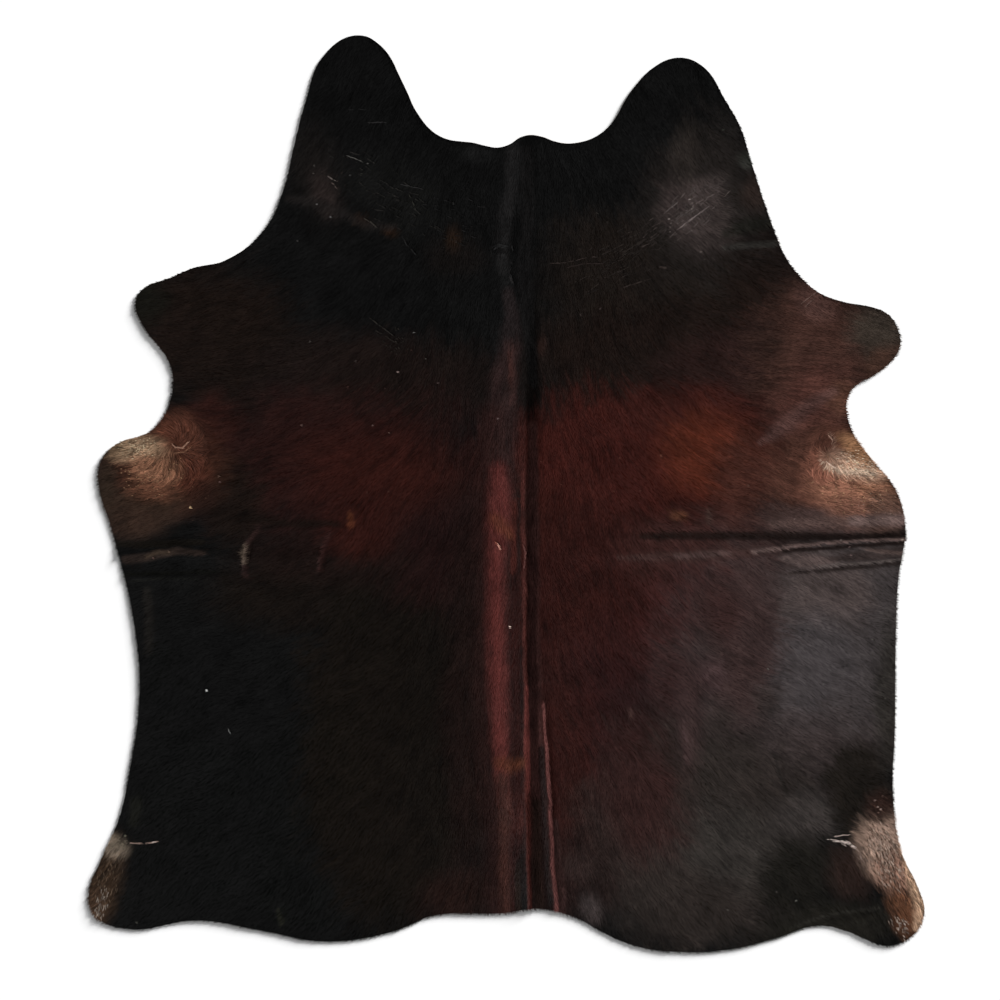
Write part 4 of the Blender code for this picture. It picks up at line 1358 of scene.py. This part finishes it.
# Single short hairs that stayed pale: place (x, y), half width and colour.
FLECKS = {
    "neck": (
        (0.368, 0.627, 0.0012, (116, 106, 102)), (0.415, 0.672, 0.0011, (128, 118, 114)),
        (0.421, 0.663, 0.0010, (100, 90, 88)), (0.441, 0.552, 0.0010, (84, 76, 72)),
        (0.449, 0.535, 0.0009, (60, 54, 50)), (0.204, 0.640, 0.0010, (46, 42, 38)),
        (0.228, 0.619, 0.0009, (50, 45, 42)), (0.211, 0.422, 0.0010, (54, 46, 44)),
        (0.167, 0.408, 0.0012, (50, 42, 40)), (0.492, 0.830, 0.0013, (46, 48, 43)),
        (-0.436, 0.660, 0.0010, (94, 92, 90)), (-0.404, 0.631, 0.0009, (82, 81, 80)),
        (-0.441, 0.748, 0.0008, (62, 58, 55)), (-0.443, 0.731, 0.0008, (66, 62, 58)),
        (-0.360, 0.727, 0.0009, (60, 59, 58)), (-0.334, 0.729, 0.0009, (49, 49, 45)),
        (-0.124, 0.662, 0.0012, (40, 39, 38)), (-0.118, 0.575, 0.0012, (42, 36, 33)),
        (-0.292, 0.474, 0.0011, (31, 30, 30)), (-0.480, 0.577, 0.0010, (48, 47, 46)),
    ),
    "shoulders": (
        (-0.214, 0.367, 0.0010, (90, 89, 87)), (-0.451, 0.347, 0.0010, (68, 63, 60)),
        (-0.347, 0.302, 0.0010, (60, 52, 49)), (-0.251, 0.278, 0.0012, (114, 98, 94)),
        (-0.187, 0.308, 0.0008, (62, 58, 54)), (-0.365, 0.243, 0.0013, (53, 35, 32)),
    ),
    "sides": (
        (-0.470, 0.156, 0.0010, (82, 64, 60)), (-0.308, 0.156, 0.0010, (98, 78, 74)),
        (-0.271, 0.139, 0.0009, (80, 61, 55)), (-0.272, 0.005, 0.0009, (66, 42, 36)),
        (-0.321, 0.003, 0.0008, (62, 38, 33)), (-0.022, 0.171, 0.0009, (92, 76, 74)),
        (-0.159, 0.253, 0.0008, (66, 54, 52)), (0.350, 0.087, 0.0011, (100, 64, 52)),
        (0.256, 0.082, 0.0009, (76, 44, 37)), (0.302, 0.007, 0.0009, (76, 46, 39)),
        (0.549, 0.018, 0.0009, (86, 66, 58)), (0.655, -0.058, 0.0009, (116, 96, 92)),
        (0.759, -0.106, 0.0011, (122, 110, 106)), (0.899, -0.105, 0.0012, (150, 138, 128)),
        (0.780, -0.122, 0.0010, (92, 76, 74)), (0.783, -0.140, 0.0012, (98, 82, 80)),
        (-0.659, 0.039, 0.0011, (88, 68, 58)), (-0.657, 0.027, 0.0010, (82, 63, 60)),
        (-0.724, -0.031, 0.0018, (168, 140, 108)), (-0.809, -0.147, 0.0014, (72, 56, 50)),
        (-0.772, -0.133, 0.0014, (76, 62, 52)),
    ),
    "belly and rump": (
        (0.005, -0.304, 0.0013, (208, 180, 168)), (-0.687, -0.449, 0.0013, (202, 202, 200)),
        (-0.847, -0.979, 0.0010, (58, 58, 52)), (0.594, -0.400, 0.0010, (96, 91, 86)),
        (0.720, -0.435, 0.0009, (92, 87, 86)), (0.621, -0.524, 0.0009, (70, 66, 62)),
        (0.614, -0.909, 0.0010, (68, 63, 59)), (0.658, -0.928, 0.0014, (88, 87, 81)),
        (0.502, -0.950, 0.0010, (82, 78, 74)), (0.832, -0.333, 0.0009, (88, 84, 79)),
        (0.857, -0.419, 0.0009, (63, 58, 54)), (0.861, -0.467, 0.0009, (73, 69, 65)),
        (0.860, -0.892, 0.0012, (168, 144, 134)), (0.844, -0.714, 0.0014, (126, 108, 100)),
        (0.838, -0.700, 0.0010, (110, 92, 86)), (0.851, -0.720, 0.0012, (132, 112, 104)),
        (0.846, -0.728, 0.0010, (96, 76, 68)), (0.856, -0.690, 0.0010, (90, 70, 64)),
        (-0.873, -0.781, 0.0012, (110, 106, 92)),
    ),
}
# Many small ones over a patch (middle, half width, half length, turn): their number, direction,
# length, half width, colour and hairs' length.
SPRINKLED = {
    "fine scratches on the right of the neck": (
        (0.425, 0.650, 0.050, 0.100, -50), 110, 36, 0.016, 0.0005, (92, 83, 80), 0.006,
    ),
    "scratches below those": (
        (0.355, 0.610, 0.030, 0.070, -50), 60, 36, 0.016, 0.0005, (62, 54, 51), 0.006,
    ),
    "lower scratches on the right of the neck": (
        (0.270, 0.545, 0.150, 0.065, 25), 110, 26, 0.024, 0.0005, (45, 39, 36), 0.006,
    ),
    "sparkle of the cloud": (
        (0.425, 0.650, 0.045, 0.080, -50), 50, 36, 0.002, 0.0007, (122, 112, 108), 0.004,
    ),
    "fine scratches on the left of the neck": (
        (-0.289, 0.690, 0.165, 0.066, -30), 70, -28, 0.018, 0.0005, (38, 36, 34), 0.006,
    ),
    "fine scratches by the spine": (
        (-0.124, 0.640, 0.070, 0.085, 0), 40, -12, 0.012, 0.0005, (30, 29, 29), 0.006,
    ),
    "dots on the left of the neck": (
        (-0.404, 0.716, 0.050, 0.060, 0), 14, 30, 0.002, 0.0008, (60, 52, 48), 0.005,
    ),
    "dots on the left shoulder": (
        (-0.262, 0.346, 0.045, 0.036, -30), 26, -40, 0.002, 0.0008, (50, 45, 41), 0.005,
    ),
    "dots on the left side": (
        (-0.278, 0.225, 0.180, 0.115, 0), 30, 0, 0.002, 0.0007, (47, 33, 30), 0.005,
    ),
    "dots left of the spine": (
        (-0.118, 0.591, 0.060, 0.060, 0), 10, 0, 0.002, 0.0008, (33, 31, 30), 0.005,
    ),
    "sparkle of the left elbow": (
        (-0.842, 0.104, 0.050, 0.026, 0), 160, 0, 0.003, 0.0004, (204, 182, 150), 0.003,
    ),
    "dark hairs among those": (
        (-0.838, 0.100, 0.056, 0.034, 0), 130, 0, 0.003, 0.0004, (84, 62, 42), 0.003,
    ),
    "golden dots of the left elbow": (
        (-0.808, 0.048, 0.080, 0.065, 0), 220, 0, 0.002, 0.0004, (166, 130, 98), 0.003,
    ),
    "dark dots of the left elbow": (
        (-0.808, 0.040, 0.090, 0.070, 0), 160, 0, 0.002, 0.0004, (56, 38, 28), 0.003,
    ),
    "dots round the left elbow": (
        (-0.760, 0.030, 0.120, 0.110, 0), 70, 0, 0.002, 0.0004, (96, 70, 54), 0.003,
    ),
    "sparkle of the right elbow": (
        (0.804, 0.066, 0.056, 0.030, -20), 220, -10, 0.003, 0.0004, (236, 212, 186), 0.003,
    ),
    "dark hairs between those": (
        (0.800, 0.072, 0.070, 0.044, -12), 160, -10, 0.003, 0.0004, (112, 80, 56), 0.003,
    ),
    "golden dots of the right elbow": (
        (0.785, 0.022, 0.090, 0.070, 0), 260, 0, 0.002, 0.0004, (194, 152, 116), 0.003,
    ),
    "dark dots of the right elbow": (
        (0.785, 0.015, 0.090, 0.060, 0), 160, 0, 0.002, 0.0004, (70, 46, 34), 0.003,
    ),
    "dots under the right elbow": (
        (0.850, -0.035, 0.060, 0.045, 0), 80, 0, 0.002, 0.0005, (146, 122, 108), 0.003,
    ),
    "dots along the right belly": (
        (0.848, -0.380, 0.036, 0.137, 0), 16, 90, 0.003, 0.0008, (66, 62, 57), 0.005,
    ),
    "dots on the right side": (
        (0.304, 0.088, 0.250, 0.115, 0), 24, 0, 0.002, 0.0007, (70, 40, 33), 0.005,
    ),
    "fanned hairs of the white tuft": (
        (0.768, -0.795, 0.026, 0.006, -12), 24, -22, 0.008, 0.0004, (186, 170, 162), 0.005,
    ),
    "hairs under the white tuft": (
        (0.812, -0.830, 0.022, 0.034, 20), 60, -50, 0.006, 0.0004, (120, 101, 91), 0.005,
    ),
    "white hairs of the right foot": (
        (0.895, -0.986, 0.022, 0.034, 25), 40, -60, 0.006, 0.0005, (182, 164, 152), 0.005,
    ),
    "pale hairs of the right shank": (
        (0.864, -0.826, 0.036, 0.086, 18), 230, -65, 0.008, 0.0004, (186, 162, 146), 0.005,
    ),
    "dark hairs of the right shank": (
        (0.874, -0.850, 0.048, 0.120, 18), 240, -65, 0.008, 0.0004, (84, 62, 50), 0.005,
    ),
    "white hairs of the left foot": (
        (-0.924, -0.940, 0.014, 0.044, -12), 60, -100, 0.008, 0.0005, (156, 142, 130), 0.005,
    ),
    "pale hairs of the left shank": (
        (-0.908, -0.870, 0.030, 0.080, -16), 80, -95, 0.007, 0.0004, (104, 86, 70), 0.005,
    ),
    "pale hairs over the left shank": (
        (-0.888, -0.800, 0.028, 0.018, 0), 50, -15, 0.006, 0.0004, (134, 122, 104), 0.005,
    ),
}
SCAR_STEP = 0.002  # between two rows of a scar's bed
SCAR_DENSITY, SCAR_HAIR_WIDTH = 480000.0, 0.0009
SCAR_LIFT, SCAR_TURN, SCAR_ROLL = 2.0, 8.0, 5.0  # degrees, as for the short coat
SCAR_SEED, SPRINKLE_SEED = 301, 500
SCAR_RAISED = 0.0030  # that a scar's bed lies over that of the coat
SCAR_SPREAD = 0.0003  # that it is wider than the line itself
FLECK_HAIR, FLECK_SPREAD = 0.005, 0.0005  # length of a fleck's hairs, and what its bed is wider
BROKEN, BROKEN_SIZE = 0.9, 0.007  # how far a long scar breaks up into dashes, and their size
LONG_SCAR = 0.010  # length past which a scar does so
DIRECTION_SPREAD = 14.0  # degrees between one small scratch and the next
THINNING = 0.5  # how far the sprinkled ones spread, as a share of their patch's half sizes
RIM_KEPT = 0.005  # that they keep from the rim
HALF_LENGTHS = (0.3, 0.7)  # of a sprinkled hair or scratch, as shares of the length it is given
FAINTEST = 0.5  # share of their colour that the faintest keep

lines = [(colour, length, np.array(rows)) for colour, length, rows in SCARS.values()]
for flecks in FLECKS.values():
    for x, y, wide, colour in flecks:
        wide += FLECK_SPREAD
        lines.append((colour, FLECK_HAIR, np.array([(x - wide, y, wide), (x + wide, y, wide)])))
for index, row in enumerate(SPRINKLED.values()):
    (x, y, across, along, turn), count, direction, long, wide, colour, length = row
    chance = np.random.default_rng(SPRINKLE_SEED + index)
    spread = chance.normal(0.0, THINNING, (count, 2))
    spread = spread[np.linalg.norm(spread, axis=1) < 1.0] * (across, along)
    places = np.array([x, y]) + turned(spread, turn)
    for place in places[inside(places, rim) & (nearest(places, rim) > RIM_KEPT)]:
        way = math.radians(direction + chance.uniform(-DIRECTION_SPREAD, DIRECTION_SPREAD))
        reach = long * chance.uniform(*HALF_LENGTHS) * np.array([math.cos(way), math.sin(way)])
        faint = chance.uniform(FAINTEST, 1.0)
        lines.append((
            tuple(faint * part for part in colour), length,
            np.array([(*(place - reach), wide), (*(place + reach), wide)]),
        ))
points, quads, colours, flows, lengths, long_ones = [], [], [], [], [], []
for colour, length, rows in lines:
    filled, run = filled_in(rows, SCAR_STEP, 1)
    ahead = unit(np.gradient(filled[:, :2], axis=0))
    across = np.stack([-ahead[:, 1], ahead[:, 0]], axis=1) * (filled[:, 2:] + SCAR_SPREAD)
    first = len(points)
    points += [*(filled[:, :2] + across), *(filled[:, :2] - across)]
    count = len(filled)
    quads += [(i, i + count, i + count + 1, i + 1) for i in range(first, first + count - 1)]
    colours += [dye_and_painted_light(*colour)] * (2 * count)
    flows += [*ahead, *ahead]
    lengths += [length / HAIR_LENGTH] * (2 * count)
    long_ones += [run > LONG_SCAR] * (2 * count)
points = np.array(points)
height = relief(points) + SKIN + SCAR_RAISED
scar_bed = bpy.data.meshes.new("scar_bed")
scar_bed.from_pydata(np.column_stack([points, height]).tolist(), [], quads)
thick = np.clip(1 - BROKEN * (0.5 + drift(points, BROKEN_SIZE, 12)), 0.0, 1.0)
thick = np.where(long_ones, thick, 1.0)
write_bed(scar_bed, points, np.array(colours), np.array(flows), np.array(lengths), thick)
coat_pieces.append(grow(
    "scars_and_flecks", scar_bed, short_hair,
    Density=SCAR_DENSITY, Length=HAIR_LENGTH, Width=SCAR_HAIR_WIDTH, Lift=SCAR_LIFT,
    Turn=SCAR_TURN, Roll=SCAR_ROLL, Uneven=HAIR_UNEVEN, Seed=SCAR_SEED,
))

for blade in (short_hair, long_hair):
    bpy.data.objects.remove(blade.object)
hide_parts("hide")
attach(hide, "root")

# ---------------------------------------------------------------- the studio
# A seamless pale floor. A broad key light from the upper right lights the floor alone and gives
# the hide its soft shadow. A window light from the left lights the hide alone, over its folds.
FLOOR_SIZE = 60.0
FLOOR_Z = -0.0006  # a little under the hide, so that the two never share a plane
FLOOR_COLOUR = (0.92, 0.92, 0.92, 1.0)
floor_mesh = bpy.data.meshes.new("floor")
floor_mesh.from_pydata(
    [
        (FLOOR_SIZE / 2 * x, FLOOR_SIZE / 2 * y, FLOOR_Z)
        for x, y in ((-1, -1), (1, -1), (1, 1), (-1, 1))
    ],
    [], [(0, 1, 2, 3)],
)
floor = add("floor", floor_mesh)
pale, shader, wire = finish_of(
    "pale_floor", Base_Color=FLOOR_COLOUR, Roughness=0.9, Specular_IOR_Level=0.0
)
floor_mesh.materials.append(pale)

ROOM_LIGHT = 0.30  # strength of the even white light from all round
world = bpy.data.worlds.new("studio")
bpy.context.scene.world = world
world.use_nodes = True
room = world.node_tree.nodes["Background"].inputs
room["Color"].default_value = (1.0, 1.0, 1.0, 1.0)
room["Strength"].default_value = ROOM_LIGHT
world.cycles_visibility.glossy = False


def light(name, strength, place, angle):
    """A far lamp at a place, aimed at the hide. The angle, in degrees, is how broad it looks."""
    lamp = bpy.data.lights.new(name, "SUN")
    lamp.energy = strength
    lamp.angle = math.radians(angle)
    stand = add(name, lamp)
    stand.location = place
    stand.rotation_euler = (-Vector(place)).to_track_quat("-Z", "Y").to_euler()
    return stand


key = light("key", strength=12.6, place=(3.9, 3.6, 1.15), angle=20)
window = light("window", strength=3.4, place=(-4.2, -1.7, 3.8), angle=16)
for lamp, lit in ((key, (floor,)), (window, (hide, *coat_pieces))):
    receivers = bpy.data.collections.new(lamp.name + "_receivers")
    for piece in lit:
        receivers.objects.link(piece)
    lamp.light_linking.receiver_collection = receivers

LENS, SENSOR = 85.0, 36.0
FRAME_WIDTH = 2.284  # metres of floor across the picture
VIEW_CENTRE = (-0.0153, -0.0144)  # of the picture, from the middle of the hide
CLIP_END = 100.0
middle = (cad_box[0] + cad_box[1]) / 2
camera = add("camera", bpy.data.cameras.new("camera"))
camera.data.lens = LENS
camera.data.sensor_width = SENSOR
camera.data.clip_end = CLIP_END
camera.location = (
    middle.x + VIEW_CENTRE[0], middle.y + VIEW_CENTRE[1], FRAME_WIDTH * LENS / SENSOR
)
bpy.context.scene.camera = camera
bpy.context.scene.view_settings.view_transform = "Standard"
